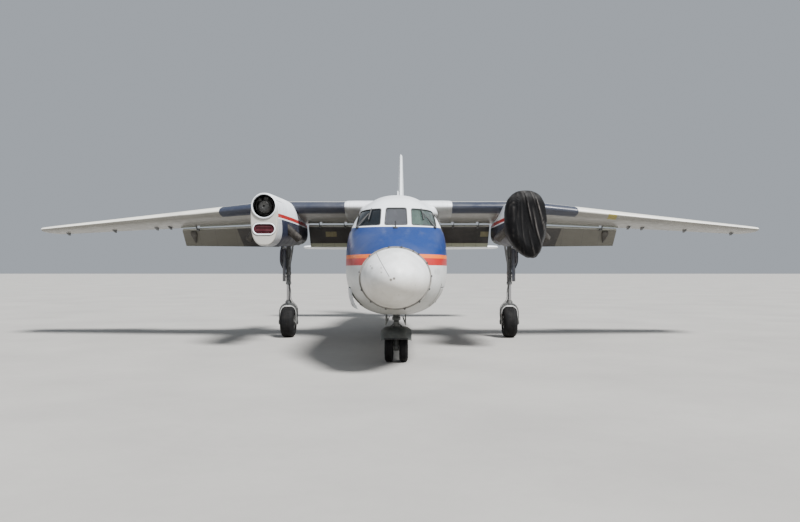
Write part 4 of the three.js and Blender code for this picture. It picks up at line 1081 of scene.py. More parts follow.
def body_sheet(name, near, far, step=0.16, count=96):
    """The layer of the fuselage skin between two insets."""
    outer = hull(name, FUSELAGE, span(3.4, 9.9, step), inset=near, count=count)
    return cut(outer, hull("inner", FUSELAGE, span(3.35, 9.95, step), inset=far, count=count))


def window_prisms(name, grow):
    """The cabin windows' outlines, each a prism right through the fuselage."""
    prisms = []
    for station in WINDOW_STATIONS:
        corners = [(station - 0.15 - grow, 1.95 - grow), (station + 0.15 + grow, 1.95 - grow),
            (station + 0.15 + grow, 2.31 + grow), (station - 0.15 - grow, 2.31 + grow)]
        outline = [at(-1.2, s, z) for s, z in round_corners(corners, 0.075 + grow)]
        prisms.append(prism(name, outline, (2.4, 0, 0)))
    return joined(name, *prisms)


cabin = hull("cabin_skin", FUSELAGE, span(3.3003, 10.2, 0.15), count=112)
lined(fuselage_finish, cabin)
pocket = block("door_pocket", (0.25, 1.0), (DOOR["front"], DOOR["back"]), (DOOR["sill"], DOOR["head"]))
lined(primer_finish, pocket)
recess = cut(body_sheet("recess", -0.01, 0.022), window_prisms("recess_cut", 0.012), how="INTERSECT")
recess.data.materials.clear()
lined(gasket_finish, recess)
cut(cabin, pocket, recess)
fixed(cabin, None, "fuselage_paint", ["fuselage_cabin"])

fixed(cut(body_sheet("cabin_windows", 0.007, 0.016), window_prisms("pane_cut", 0.0), how="INTERSECT"),
    pane_finish, "fuselage_paint")
window_seals = cut(body_sheet("cabin_window_seals", -0.0015, 0.018), window_prisms("seal_cut", 0.0115),
    how="INTERSECT")
cut(window_seals, window_prisms("seal_hole", 0.0))
fixed(window_seals, gasket_finish, "fuselage_paint")

# %% The passenger door with its steps
leaf = hull("passenger_door_leaf", FUSELAGE, span(8.5, 9.8, 0.13), count=112)
cut(leaf, hull("leaf_inner", FUSELAGE, span(8.4, 9.9, 0.15), inset=DOOR["thick"], count=112))
front, back = DOOR["front"] + 0.006, DOOR["back"] - 0.006
low, high = DOOR["sill"] + 0.0004, DOOR["head"] - 0.006
corners = [(front, low), (back, low), (back, high), (front, high)]
frame_outline = [at(0.25, s, z) for s, z in round_corners(corners, 0.06)]
cut(leaf, prism("leaf_outline", frame_outline, (0.8, 0, 0)), how="INTERSECT")
rounded(leaf, 0.003, 2, 50)
place_piece(leaf, "passenger_door", fuselage_finish, "fuselage_paint", ["passenger_door"])
steps = []
for z in (1.32, 1.6, 1.88):
    reach = side_at(9.15, z) - DOOR["thick"]
    steps.append(block("step", (reach - 0.17, reach + 0.01), (8.84, 9.46), (z - 0.012, z + 0.012), 0.004))
    for station in (8.84, 9.455):
        steps.append(rod("stay", at(reach - 0.155, station, z), at(reach + 0.005, station, z + 0.12), 0.007,
            sides=12))
steps = joined("door_steps", *steps)
place_piece(steps, "passenger_door", gear_finish, "gear_paint")
knob = [block("door_handle", (0.886, 0.908), (8.86, 9.02), (1.905, 1.945), 0.006),
    rod("door_lock", at(0.885, 9.1, 1.925), at(0.903, 9.1, 1.925), 0.018, sides=24, round_by=0.002)]
place_piece(joined("door_handle", *knob), "passenger_door", shaft_finish, "shaft_metal")

# %% The tail cone
tail = hull("tail_cone", FUSELAGE, [10.2003] + span(10.32, 15.2, 0.12), count=112)
fixed(tail, fuselage_finish, "tail_paint", ["fuselage_tail"])
tail_lamp = turned("tail_lamp", [(0.002, -0.02), (0.075, -0.02), (0.073, 0.0), (0.06, 0.028), (0.038, 0.046),
    (0.002, 0.054)], at(0, 15.2, 2.46), (0, 1, 0), 40)
fixed(tail_lamp, clear_lamp, "tail_paint")

# %% [markdown]
# ## Wings and tail surfaces
# Each surface is a row of airfoil sections: span position, leading edge station and height, chord,
# thickness and incidence. The moving surfaces are cut out of it with the outlines of the solids, so
# the gaps that show are the real ones.

# %% Airfoil sections
WING = [
    (0.0, 5.83, 2.99, 2.28, 0.155, 6.2),
    (2.95, 5.83, 2.99, 2.28, 0.155, 6.2),
    (8.1, 6.7, 2.556, 1.185, 0.12, 3.4),
    (8.38, 6.77, 2.536, 1.06, 0.11, 3.4),
    (8.5, 7.03, 2.545, 0.7, 0.06, 3.4),
]
WING_CAMBER = 0.015
TAILPLANE = [
    (0.0, 13.18, 2.33, 1.7, 0.11, 0),
    (3.0, 13.56, 2.33, 1.08, 0.1, 0),
    (3.13, 13.64, 2.33, 0.94, 0.09, 0),
    (3.18, 13.78, 2.33, 0.7, 0.05, 0),
]
# The fin in the same columns, its span drawn along x and then stood up
FIN = [(z, lead, 0.0, trail - lead, thick, 0) for z, lead, trail, thick in [(2.56, 10.7, 15.4, 0.045),
    (3.0, 11.1, 15.445, 0.05), (3.33, 12.42, 15.478, 0.075), (3.6, 12.96, 15.505, 0.085),
    (5.3, 14.33, 15.68, 0.09), (5.45, 14.49, 15.7, 0.085), (5.52, 14.78, 15.64, 0.04)]]
EDGE = 0.004
STEPS = [0.5 - 0.5 * cos(pi * i / 26) for i in range(27)]


def row_at(table, x):
    """A row at any span position, straight between the rows."""
    k = next((i for i in range(len(table) - 1) if x <= table[i + 1][0]), len(table) - 2)
    a, b = table[k], table[k + 1]
    t = (x - a[0]) / (b[0] - a[0])
    return [p + (q - p) * t for p, q in zip(a, b)]


def half_thick(ratio, u):
    return 5 * ratio * (0.2969 * sqrt(max(u, 0)) - 0.126 * u - 0.3516 * u**2 + 0.2843 * u**3 - 0.1036 * u**4)


def on_chord(row, along, off):
    c, s = cos(radians(row[5])), sin(radians(row[5]))
    return at(row[0], row[1] + along * c + off * s, row[2] - along * s + off * c)


def camber_at(camber, chord, u):
    return 4 * camber * chord * u * (1 - u)


def upper_at(row, camber, u):
    return camber_at(camber, row[3], u) + half_thick(row[4], u) * row[3] + EDGE * u


def lower_at(row, camber, u):
    return camber_at(camber, row[3], u) - half_thick(row[4], u) * row[3] - EDGE * u


def section_ring(row, camber, grow=0.0, last=1.0):
    """An airfoil's outline, down to a share of its chord."""
    def place(u):
        return u * (row[3] + 2 * grow) - grow
    over = [on_chord(row, place(u * last), upper_at(row, camber, u * last) + (grow if u > 0 else 0))
        for u in reversed(STEPS)]
    under = [on_chord(row, place(u * last), lower_at(row, camber, u * last) - grow) for u in STEPS[1:]]
    return over + under


def hinged_ring(row, camber, share, cutter, steps=16):
    """A moving surface with a half-round nose about its hinge line, or the cut made for it."""
    chord = row[3]
    middle = camber_at(camber, chord, share)
    nose = half_thick(row[4], share) * chord + EDGE * share + (0.008 if cutter else -0.0004)
    reach = radians(52 if cutter else 90)
    arc = []
    for i in range(steps + 1):
        angle = pi - reach + 2 * reach * i / steps
        arc.append((share * chord + nose * cos(angle), middle + nose * sin(angle)))
    if cutter:
        rear = [(arc[-1][0], -0.4), (chord + 0.06, -0.4), (chord + 0.06, 0.4), (arc[0][0], 0.4)]
    else:
        shares = [share + (1 - share) * k / 6 for k in range(1, 7)]
        rear = [(u * chord, lower_at(row, camber, u)) for u in shares]
        rear += [(u * chord, upper_at(row, camber, u)) for u in reversed(shares)]
    return [on_chord(row, along, off) for along, off in arc + rear]


def upright(ring):
    """A ring drawn along the span, stood up for the fin."""
    return [Vector((-p.z, p.y, p.x)) for p in ring]


print("chord at the root", WING[0][3])

# %% Flaps: their bodies, cuts, arms and brackets
FLAP = {"start": 0.72, "lip_end": 0.8, "lip": 0.018, "slot": 0.045, "nose": 0.055, "ahead": 0.06,
    "below": 0.18}
FLAP_ANGLE = 50


def flap_scale(row):
    return row[3] / WING[0][3]


def flap_ring(x):
    row = row_at(WING, x)
    chord, k = row[3], flap_scale(row)
    start, nose = FLAP["start"] * chord, FLAP["nose"] * k
    low = lower_at(row, WING_CAMBER, FLAP["start"] + 0.03) + nose
    places = []
    for i in range(13):
        angle = radians(105 + 165 * i / 12)
        places.append((start + nose * (1 + cos(angle)), low + nose * sin(angle)))
    places += [(u * chord, lower_at(row, WING_CAMBER, u)) for u in (0.8, 0.85, 0.9, 0.95, 1)]
    places += [(u * chord, upper_at(row, WING_CAMBER, u)) for u in (1, 0.95, 0.9, 0.86, 0.825)]
    lip_end = FLAP["lip_end"]
    places.append(((lip_end - 0.01) * chord, upper_at(row, WING_CAMBER, lip_end) - FLAP["lip"] - 0.009))
    return [on_chord(row, along, off) for along, off in places]


def flap_cut_ring(x):
    row = row_at(WING, x)
    chord = row[3]
    front = FLAP["start"] * chord - FLAP["slot"] * flap_scale(row)
    lip_end = FLAP["lip_end"]
    under = upper_at(row, WING_CAMBER, lip_end) - FLAP["lip"]
    places = [(front, -0.3), (front, upper_at(row, WING_CAMBER, front / chord) - FLAP["lip"]),
        (lip_end * chord, under), (lip_end * chord, 0.3), (chord + 0.06, 0.3), (chord + 0.06, -0.3)]
    return [on_chord(row, along, off) for along, off in places]


def flap_pivot(x):
    row = row_at(WING, x)
    k = flap_scale(row)
    low = lower_at(row, WING_CAMBER, FLAP["start"] + 0.03) + FLAP["nose"] * k
    return on_chord(row, FLAP["start"] * row[3] - FLAP["ahead"] * k, low - FLAP["below"] * k)


def make_flap(tag, inner, outer, brackets):
    """The flap turned down about its pivot line, and its fixed brackets under the wing."""
    start, end = flap_pivot(inner), flap_pivot(outer)
    axis = (start - end).normalized()
    across = -axis
    aftward = (Vector((0, 1, 0)) - across * across.y).normalized()
    upward = across.cross(aftward)
    body = skin(f"flap_{tag}_skin", [flap_ring(x) for x in span(inner, outer, 0.3)])
    rounded(body, 0.003, 2, 50)
    arms, carriers = [], []
    for x in brackets:
        k = flap_scale(row_at(WING, x))
        pivot = start.lerp(end, (x - inner) / (outer - inner))

        def plate(name, low, high, outline, keep):
            corners = round_corners(outline, 0.007, 4)
            places = [pivot + across * low + aftward * a * k + upward * u * k for a, u in corners]
            keep.append(rounded(prism(name, places, across * (high - low)), 0.0015, 2, 50))

        plate("arm", -0.008, 0.008, [(-0.022, -0.018), (0.01, -0.028), (0.026, -0.004), (0.165, 0.145),
            (0.115, 0.195), (-0.028, 0.006)], arms)
        plate("bracket", 0.014, 0.028, [(-0.024, -0.02), (0, -0.032), (0.024, -0.02), (0.03, 0.01),
            (0.01, 0.19), (-0.15, 0.215), (-0.19, 0.18)], carriers)
        carriers += [rod("boss", pivot + across * 0.021, pivot + across * 0.0084, 0.012, sides=24),
            rod("bolt", pivot + across * 0.028, pivot + across * 0.034, 0.01, sides=6)]
    arms = turned_about(joined(f"flap_{tag}_arms", *arms), start, axis, FLAP_ANGLE)
    body = turned_about(body, start, axis, FLAP_ANGLE)
    return body, arms, joined(f"flap_{tag}_brackets", *carriers)


KEEL = [(0.745, 0.05, 0.012), (0.757, 0.076, 0.034), (0.78, 0.08, 0.055), (0.82, 0.066, 0.062),
    (0.87, 0.045, 0.052), (0.915, 0.024, 0.032), (0.945, 0.006, 0.01)]


def flap_keel(x, inner, outer):
    """The tapered fairing under a flap at its outer arm."""
    row = row_at(WING, x)
    rings = []
    # Share of the chord, half width, depth
    for u, half, deep in KEEL:
        low = lower_at(row, WING_CAMBER, u)
        ring = []
        for i in range(24):
            angle = 2 * pi * i / 24
            place = on_chord(row, u * row[3], low + 0.005 - (deep / 2 + 0.005) * (1 - sin(angle)))
            place.x += half * cos(angle)
            ring.append(place)
        rings.append(ring)
    start, end = flap_pivot(inner), flap_pivot(outer)
    return turned_about(skin("flap_keel_left", rings), start, (start - end).normalized(), FLAP_ANGLE)


def wing_lip(tag, stops):
    """The dark strip along the wing's lower edge, ahead of a flap and open at its arms."""
    strips = []
    for inner, outer in stops:
        rings = []
        for x in span(inner, outer, 0.2):
            row = row_at(WING, x)
            low = lower_at(row, WING_CAMBER, 0.7)
            rings.append([on_chord(row, u * row[3], low + off) for u, off in [(0.7, 0.006), (0.7008, -0.02),
                (0.7075, -0.026), (0.7085, 0.006)]])
        strips.append(skin("wing_lip", rings))
    return joined(f"wing_lip_{tag}_left", *strips)


keel_finish = plain("flap_keel_paint", (0.06, 0.054, 0.045), (0.035, 0.031, 0.026), (0.5, 0.7), 0.0, 8.0, 0.1,
    0.3)
keel = flap_keel(5.03, 3.0, 5.3)
pair(keel, "flap_outer", keel_finish, "flap_paint")
for tag, stops in (("inner", [(1.0, 1.26), (1.34, 1.86), (1.94, 2.2)]),
        ("outer", [(3.0, 3.46), (3.54, 4.84), (4.92, 5.3)])):
    fixed_pair(wing_lip(tag, stops), primer_finish, "wing_paint")
flap_parts = {"inner": make_flap("inner_left", 1.0, 2.2, [1.3, 1.9]),
    "outer": make_flap("outer_left", 3.0, 5.3, [3.5, 4.88])}
for tag, (body, arms, carriers) in flap_parts.items():
    pair(body, f"flap_{tag}", flap_finish, "flap_paint", nodes=[f"flap_{tag}"])
    pair(arms, f"flap_{tag}", gear_finish, "gear_paint")
    fixed_pair(carriers, gear_finish, "gear_paint")


# %% The wing: one middle piece and two outer panels
def flap_cutter(name, inner, outer):
    cutter = skin(name, [flap_cut_ring(x) for x in span(inner - 0.015, outer + 0.015, 0.3)])
    lined(primer_finish, cutter)
    return cutter


# Inner end, outer end, share of the chord at the hinge
AILERON = (5.36, 8.08, 0.74)
ELEVATOR = (0.4, 2.99, 0.66)
HINGE_GAP = 0.01


def hinge_cutter(name, table, camber, inner, outer, share):
    cutter = skin(name, [hinged_ring(row_at(table, x), camber, share, True)
        for x in span(inner - HINGE_GAP, outer + HINGE_GAP, 0.4)])
    lined(gear_finish, cutter)
    return cutter


inner_cut = flap_cutter("inner_cut", 1.0, 2.2)
middle = skin("wing_middle", [section_ring(row_at(WING, abs(x)) if x >= 0 else [x] + row_at(WING, abs(x))[1:],
    WING_CAMBER) for x in span(-2.95, 2.95, 0.295)])
lined(wing_finish, middle)
cut(middle, mirrored(inner_cut, "inner_cut_right"), inner_cut)
fixed(middle, None, "wing_paint", ["wing_center"])

tip_places = [8.1, 8.2, 8.3, 8.38, 8.42, 8.45, 8.475, 8.49, 8.5]
panel = skin("wing_panel_left", [section_ring(row_at(WING, x), WING_CAMBER)
    for x in span(2.9504, 7.9, 0.33) + tip_places])
lined(wing_finish, panel)
cut(panel, flap_cutter("outer_cut", 3.0, 5.3), hinge_cutter("aileron_cut", WING, WING_CAMBER, *AILERON))
fixed_pair(panel, None, "wing_paint", nodes=["wing_outer"])

aileron = skin("aileron_skin_left", [hinged_ring(row_at(WING, x), WING_CAMBER, AILERON[2], False)
    for x in span(*AILERON[:2], 0.34)])
rounded(aileron, 0.0025, 2, 60)
pair(aileron, "aileron", wing_finish, "wing_paint", nodes=["aileron"])

# %% The fairing and the glove round the wing root
fairing = hull("root_fairing", FAIRING, span(5.0, 9.15, 0.1), count=80)
glove_rings = []
for x, proud in [(0.0, 0.016), (0.5, 0.016), (1.0, 0.016), (1.12, 0.013), (1.165, 0.009), (1.19, 0.001)]:
    row = row_at(WING, x)
    glove_rings.append(section_ring(row, WING_CAMBER, proud, (7.33 - row[1]) / row[3]))
glove = skin("root_glove", glove_rings)
fairing = joined("root_fairing", fairing, glove, mirrored(glove, "glove_right"))
fixed(fairing, glove_finish, "wing_paint", ["wing_fairing"])

# %% Tailplane and elevators
stabiliser = skin("tailplane_skin", [section_ring(row_at(TAILPLANE, abs(x)) if x >= 0
    else [x] + row_at(TAILPLANE, abs(x))[1:], 0.0) for x in [-3.18, -3.165, -3.15, -3.13]
    + span(-3.0, 3.0, 0.25) + [3.13, 3.15, 3.165, 3.18]])
lined(white_finish, stabiliser)
tail_cut = hinge_cutter("elevator_cut", TAILPLANE, 0.0, *ELEVATOR)
cut(stabiliser, mirrored(tail_cut, "elevator_cut_right"), tail_cut)
fixed(stabiliser, None, "tail_paint", ["tailplane"])
elevator = skin("elevator_skin_left", [hinged_ring(row_at(TAILPLANE, x), 0.0, ELEVATOR[2], False)
    for x in span(*ELEVATOR[:2], 0.26)])
rounded(elevator, 0.0025, 2, 60)
pair(elevator, "elevator", white_finish, "tail_paint", nodes=["elevator"])

# %% Fin and rudder
fin_places = (span(2.56, 3.0, 0.11) + [3.08, 3.16, 3.24, 3.33, 3.42, 3.51] + span(3.6, 5.3, 0.17)
    + [5.38, 5.45, 5.48, 5.5, 5.512, 5.52])
fin = skin("fin_skin", [upright(section_ring(row_at(FIN, z), 0.0)) for z in fin_places])
lined(white_finish, fin)
RUDDER = {"bottom": 2.79, "top": 5.26, "hinge_bottom": 14.52, "hinge_top": 15.06}


def rudder_ring(z, cutter):
    row = row_at(FIN, z)
    share = (z - RUDDER["bottom"]) / (RUDDER["top"] - RUDDER["bottom"])
    hinge = RUDDER["hinge_bottom"] + share * (RUDDER["hinge_top"] - RUDDER["hinge_bottom"])
    return upright(hinged_ring(row, 0.0, (hinge - row[1]) / row[3], cutter))


rudder_cut = skin("rudder_cut", [rudder_ring(z, True) for z in span(2.782, 5.286, 0.25)])
lined(gear_finish, rudder_cut)
cut(fin, rudder_cut)
fixed(fin, None, "tail_paint", ["fin"])
rudder = skin("rudder_skin", [rudder_ring(z, False) for z in [2.79, 3.0, 3.16, 3.33] + span(3.5, 5.26, 0.22)])
rounded(rudder, 0.0025, 2, 60)
place_piece(rudder, "rudder", white_finish, "tail_paint", ["rudder"])

# %% [markdown]
# ## The nacelles and the engines
# Each cowl has a round mouth, in which the flange of the propeller shaft shows, and an oval air intake
# under it. The engine and its two exhaust stubs are inside, and the main leg stands in a well behind.

# %% The cowl with its two lips
SHAFT = 2.829
INTAKE = {"height": 2.38, "half": 0.212, "tall": 0.21}
EXHAUST = {"radius": 0.084, "bore": 0.068, "start": (0.11, 4.64, 2.64), "end": (0.52, 4.99, 2.23)}


def shaft_line(station):
    return at(NACELLE_X, station, SHAFT)


def intake_outline(station, grow=0.0, steps=10):
    """The rounded outline of the air intake."""
    radius = INTAKE["tall"] / 2
    straight = INTAKE["half"] - radius
    outline = []
    for i in range(4 * steps):
        angle = 2 * pi * (i + 0.5) / (4 * steps)
        outline.append(at(NACELLE_X + copysign(straight, cos(angle)) + (radius + grow) * cos(angle), station,
            INTAKE["height"] + (radius + grow) * sin(angle)))
    return outline


def exhaust_line(side):
    """The two ends of an exhaust stub's centre line."""
    return [at(NACELLE_X + side * x, s, z) for x, s, z in (EXHAUST["start"], EXHAUST["end"])]


cowl_rings = [oval(section_at(NACELLE, s), NACELLE_X, inset, 96)
    for s, inset in [(3.85, 0.024), (3.852, 0.012), (3.858, 0.005), (3.868, 0.001)]]
cowl_rings += [oval(section_at(NACELLE, s), NACELLE_X, 0.0, 96) for s in span(3.9, 5.25, 0.09)]
cowl = skin("cowl_skin_left", cowl_rings)
lined(nacelle_finish, cowl)
cavity = hull("cavity", NACELLE, span(3.89, 5.3, 0.14), inset=0.032, centre=NACELLE_X, count=72)
mouth = rod("mouth", shaft_line(3.7), shaft_line(4.0), 0.222, sides=72)
intake = prism("intake", intake_outline(3.7), (0, 0.3, 0))
lined(dark_finish, cavity, mouth, intake)
holes = [rod("exhaust_hole", *exhaust_line(side), 0.09, sides=40) for side in (-1, 1)]
lined(steel_finish, *holes)
cut(cowl, cavity, mouth, intake, *holes)
fixed_pair(cowl, None, "nacelle_paint", nodes=["cowl"])

lip = turned("cowl_ring_left", [(0.2225, 3.905), (0.2225, 3.832), (0.2245, 3.822), (0.229, 3.8165),
    (0.234, 3.815), (0.239, 3.8165), (0.244, 3.822), (0.247, 3.832), (0.2545, 3.905), (0.2225, 3.905)],
    at(NACELLE_X, 0, SHAFT), (0, 1, 0), 96)
fixed_pair(lip, white_finish, "nacelle_paint")
lip_rings = []
for i in range(9):
    angle = pi * i / 8
    lip_rings.append(intake_outline(3.852 - 0.02 * sin(angle), 0.003 - 0.014 * cos(angle), 14))
lip_rings += [intake_outline(3.885, 0.017, 14), intake_outline(3.885, -0.003, 14)]
lip_rings.append(lip_rings[0])
fixed_pair(skin("intake_lip_left", lip_rings), white_finish, "nacelle_paint")

# %% Engine, gearbox, exhaust stubs and propeller shaft
core = turned("engine_core_left", [(0.002, 3.9305), (0.098, 3.9305), (0.108, 3.936), (0.11, 3.952),
    (0.126, 3.956), (0.128, 3.972), (0.136, 3.976), (0.15, 4.03), (0.168, 4.036), (0.17, 4.052),
    (0.172, 4.08), (0.19, 4.084), (0.203, 4.09), (0.205, 4.2), (0.211, 4.205), (0.211, 4.225), (0.205, 4.23),
    (0.206, 4.6), (0.213, 4.605), (0.213, 4.625), (0.208, 4.63), (0.212, 5.248), (0.002, 5.248)],
    at(NACELLE_X, 0, SHAFT), (0, 1, 0), 72)
parts = [core]
for i in range(12):
    turn = 2 * pi * i / 12
    spot = Vector((0.118 * cos(turn), 0, 0.118 * sin(turn)))
    parts.append(rod("stud", shaft_line(3.958) + spot, shaft_line(3.943) + spot, 0.007, sides=6))
parts += [block("governor", (NACELLE_X - 0.07, NACELLE_X + 0.02), (3.955, 4.06),
    (SHAFT + 0.115, SHAFT + 0.195), 0.012), rod("pump", at(NACELLE_X + 0.1, 3.95, SHAFT + 0.13),
    at(NACELLE_X + 0.1, 4.08, SHAFT + 0.13), 0.035, sides=32, round_by=0.006),
    tube("oil_pipe", [at(NACELLE_X + 0.1, 3.955, SHAFT + 0.165), at(NACELLE_X + 0.16, 3.95, SHAFT + 0.1),
    at(NACELLE_X + 0.185, 3.96, SHAFT - 0.02), at(NACELLE_X + 0.15, 4.05, SHAFT - 0.12)], 0.009),
    tube("air_pipe", [at(NACELLE_X - 0.14, 4.06, SHAFT + 0.1), at(NACELLE_X - 0.19, 3.96, SHAFT + 0.03),
    at(NACELLE_X - 0.185, 3.95, SHAFT - 0.07), at(NACELLE_X - 0.13, 4.04, SHAFT - 0.13)], 0.012)]
fixed_pair(joined("engine_core_left", *parts), steel_finish, "engine_metal", nodes=["engine"])

stubs = []
for side in (-1, 1):
    start, end = exhaust_line(side)
    reach = (end - start).length
    stubs += [turned("stub", [(EXHAUST["bore"], reach - 0.16), (EXHAUST["bore"], reach - 0.003),
        (EXHAUST["bore"] + 0.004, reach), (EXHAUST["radius"] - 0.004, reach),
        (EXHAUST["radius"], reach - 0.004), (EXHAUST["radius"], 0.0), (0.002, 0.0), (0.002, reach - 0.16),
        (EXHAUST["bore"], reach - 0.16)], start, end - start, 48),
        turned("clamp", [(0.0842, reach - 0.2), (0.0895, reach - 0.2), (0.0895, reach - 0.18),
        (0.0842, reach - 0.18), (0.0842, reach - 0.2)], start, end - start, 48)]
fixed_pair(joined("exhaust_stubs_left", *stubs), burnt_finish, "engine_metal")

flange = turned("prop_flange_left", [(0.002, 3.847), (0.03, 3.847), (0.032, 3.8455), (0.052, 3.8455),
    (0.054, 3.845), (0.089, 3.845), (0.092, 3.848), (0.092, 3.866), (0.089, 3.87), (0.058, 3.871),
    (0.052, 3.876), (0.052, 3.9296), (0.002, 3.9296)], at(NACELLE_X, 0, SHAFT), (0, 1, 0), 64)
holes = []
for i in range(8):
    turn = 2 * pi * (i + 0.5) / 8
    spot = Vector((0.073 * cos(turn), 0, 0.073 * sin(turn)))
    holes.append(rod("bolt_hole", shaft_line(3.84) + spot, shaft_line(3.88) + spot, 0.0075, sides=20))
holes.append(rod("spigot_hole", shaft_line(3.84), shaft_line(3.9), 0.022, sides=32))
cut(flange, *holes)
pair(flange, "prop_shaft", shaft_finish, "shaft_metal", nodes=["prop_shaft"])

# %% The nacelle behind the wing spar, its well and the leg's door
WELL = {"half": 0.22, "front": 6.64, "back": 7.76, "roof": 2.45}
MAIN_DOOR = {"hinge": 0.22, "pivot": 2.145, "front": 7.11, "back": 7.73, "thick": 0.026, "angle": 92,
    "corner": 2.273, "lugs": [7.19, 7.56], "lug": 0.012, "top": 0.115}
nacelle = hull("nacelle_skin_left", NACELLE, [5.2504] + span(5.35, 8.9, 0.11)
    + [8.95, 9.0, 9.04, 9.07, 9.09, 9.1], centre=NACELLE_X, count=96)
lined(nacelle_finish, nacelle)
well = block("well", (NACELLE_X - WELL["half"], NACELLE_X + WELL["half"]), (WELL["front"], WELL["back"]),
    (1.8, WELL["roof"]))
gap = block("door_gap", (NACELLE_X - 0.42, NACELLE_X + MAIN_DOOR["hinge"]),
    (MAIN_DOOR["front"] - 0.006, MAIN_DOOR["back"] + 0.006), (1.8, MAIN_DOOR["corner"] + 0.006))
lined(primer_finish, well, gap)
cut(nacelle, well, gap)
fixed_pair(nacelle, None, "nacelle_paint", nodes=["nacelle"])


def nacelle_under(station, dx):
    _, half, top, bottom, wide, up, down = section_at(NACELLE, station)
    return wide - (wide - bottom) * (1 - (dx / half) ** down) ** (1 / down)


pivot_x, pivot_z = NACELLE_X + MAIN_DOOR["hinge"], MAIN_DOOR["pivot"]


def lug_plate(name, outline, station):
    places = [at(pivot_x + x, station, pivot_z + z) for x, z in round_corners(outline, 0.004, 3)]
    return rounded(prism(name, places, (0, MAIN_DOOR["lug"], 0)), 0.0015, 2, 50)


door = cut(hull("leg_door_left", NACELLE, span(6.6, 8.1, 0.1), centre=NACELLE_X, count=120),
    hull("inner", NACELLE, span(6.5, 8.2, 0.1), inset=MAIN_DOOR["thick"], centre=NACELLE_X, count=120))
cut(door, block("door_box", (NACELLE_X - 0.42, pivot_x - 0.006), (MAIN_DOOR["front"], MAIN_DOOR["back"]),
    (1.9, MAIN_DOOR["corner"])), how="INTERSECT")
rounded(door, 0.0025, 2, 50)
parts, lugs = [door], []
for station in MAIN_DOOR["lugs"]:
    reach = nacelle_under(station, MAIN_DOOR["hinge"]) - pivot_z + MAIN_DOOR["thick"] / 2
    parts.append(lug_plate("arm", [(-0.012, -0.006), (0, -0.013), (0.012, -0.006), (0.012, 0.006),
        (-0.008, 0.022), (-0.014, reach), (-0.04, reach)], station))
    lugs += [lug_plate("lug", [(-0.012, -0.006), (0, -0.013), (0.012, -0.008), (0.03, 0.04),
        (0.03, MAIN_DOOR["top"]), (0.003, MAIN_DOOR["top"]), (0.003, 0.012), (-0.012, 0.006)],
        station + MAIN_DOOR["lug"] + 0.0004), rod("lug_pin", at(pivot_x, station + 0.0244, pivot_z),
        at(pivot_x, station + 0.029, pivot_z), 0.007, sides=6)]
for station in (7.25, 7.42, 7.6):
    parts.append(block("rib", (NACELLE_X - 0.3, NACELLE_X + 0.16), (station, station + 0.012), (2.176, 2.196),
        0.003))
door = turned_about(joined("leg_door_left", *parts), (pivot_x, 0, pivot_z), (0, 1, 0), -MAIN_DOOR["angle"])
pair(door, "main_door", nacelle_finish, "nacelle_paint", nodes=["main_door"])
fixed_pair(joined("door_lugs_left", *lugs), gear_finish, "gear_paint")

# %% The red intake plug
plug_parts = [rounded(prism("plug", intake_outline(3.862, -0.0006), (0, 0.043, 0)), 0.006, 3, 50)]
for dz in (-0.038, 0.038):
    plug_parts.append(block("plug_bar", (NACELLE_X - 0.15, NACELLE_X + 0.15), (3.848, 3.87),
        (INTAKE["height"] + dz - 0.009, INTAKE["height"] + dz + 0.009), 0.003))
    for dx in (-0.135, 0.135):
        spot = at(NACELLE_X + dx, 3.849, INTAKE["height"] + dz)
        plug_parts.append(rod("plug_bolt", spot, spot + Vector((0, -0.006, 0)), 0.006, sides=6))
plug = joined("intake_plug", *plug_parts)
plug.data.transform(Matrix.Scale(-1, 4, (1, 0, 0)))
plug.data.flip_normals()
fixed(plug, plug_finish, "plug_red", ["intake_plug_right"])

# %% [markdown]
# ## The fabric cover
# A black cloth cover is pulled over the left engine, one sheet with long folds that hang from the
# crown. It is drawn as rings that wander out and in, and given a thickness.

# %% The cover on the left engine
# station, centre, half width, top, bottom, widest height, power above, power below
COVER = [
    (3.61, 2.505, 0.25, 3.0, 2.0, 2.62, 2.2, 1.9),
    (3.65, 2.49, 0.345, 3.07, 1.89, 2.6, 2.4, 1.8),
    (3.74, 2.48, 0.405, 3.118, 1.815, 2.56, 2.5, 1.7),
    (3.95, 2.5, 0.425, 3.136, 1.795, 2.52, 2.6, 1.7),
    (4.3, 2.555, 0.428, 3.15, 1.8, 2.48, 2.7, 1.8),
    (4.62, 2.59, 0.42, 3.152, 1.87, 2.46, 2.7, 2.0),
]


def fold(angle, station):
    """How far the cloth stands off its mean line: long folds, deeper low down."""
    low = 0.5 - 0.5 * sin(angle)
    deep = 0.003 + 0.012 * low
    wave = (sin(7 * angle + 2.2 * station) * 0.45 + sin(13 * angle - 3.1 * station + 0.8) * 0.3
        + sin(23 * angle + 5.0 * station + 2.0) * 0.15 + sin(3.5 * station + 5 * angle) * 0.25)
    return deep * (wave - 0.9)


def cover_ring(station, share=1.0):
    row = section_at([(r[0],) + r[2:] + (r[1],) for r in COVER], station)
    centre = row[7]
    ring = []
    for i, place in enumerate(oval(row[:7], centre, 0.0, 240)):
        angle = 2 * pi * i / 240
        middle = at(centre, station, row[4])
        out = (place - middle).normalized()
        ring.append(middle + (place - middle) * share + out * fold(angle, station) * share)
    return ring


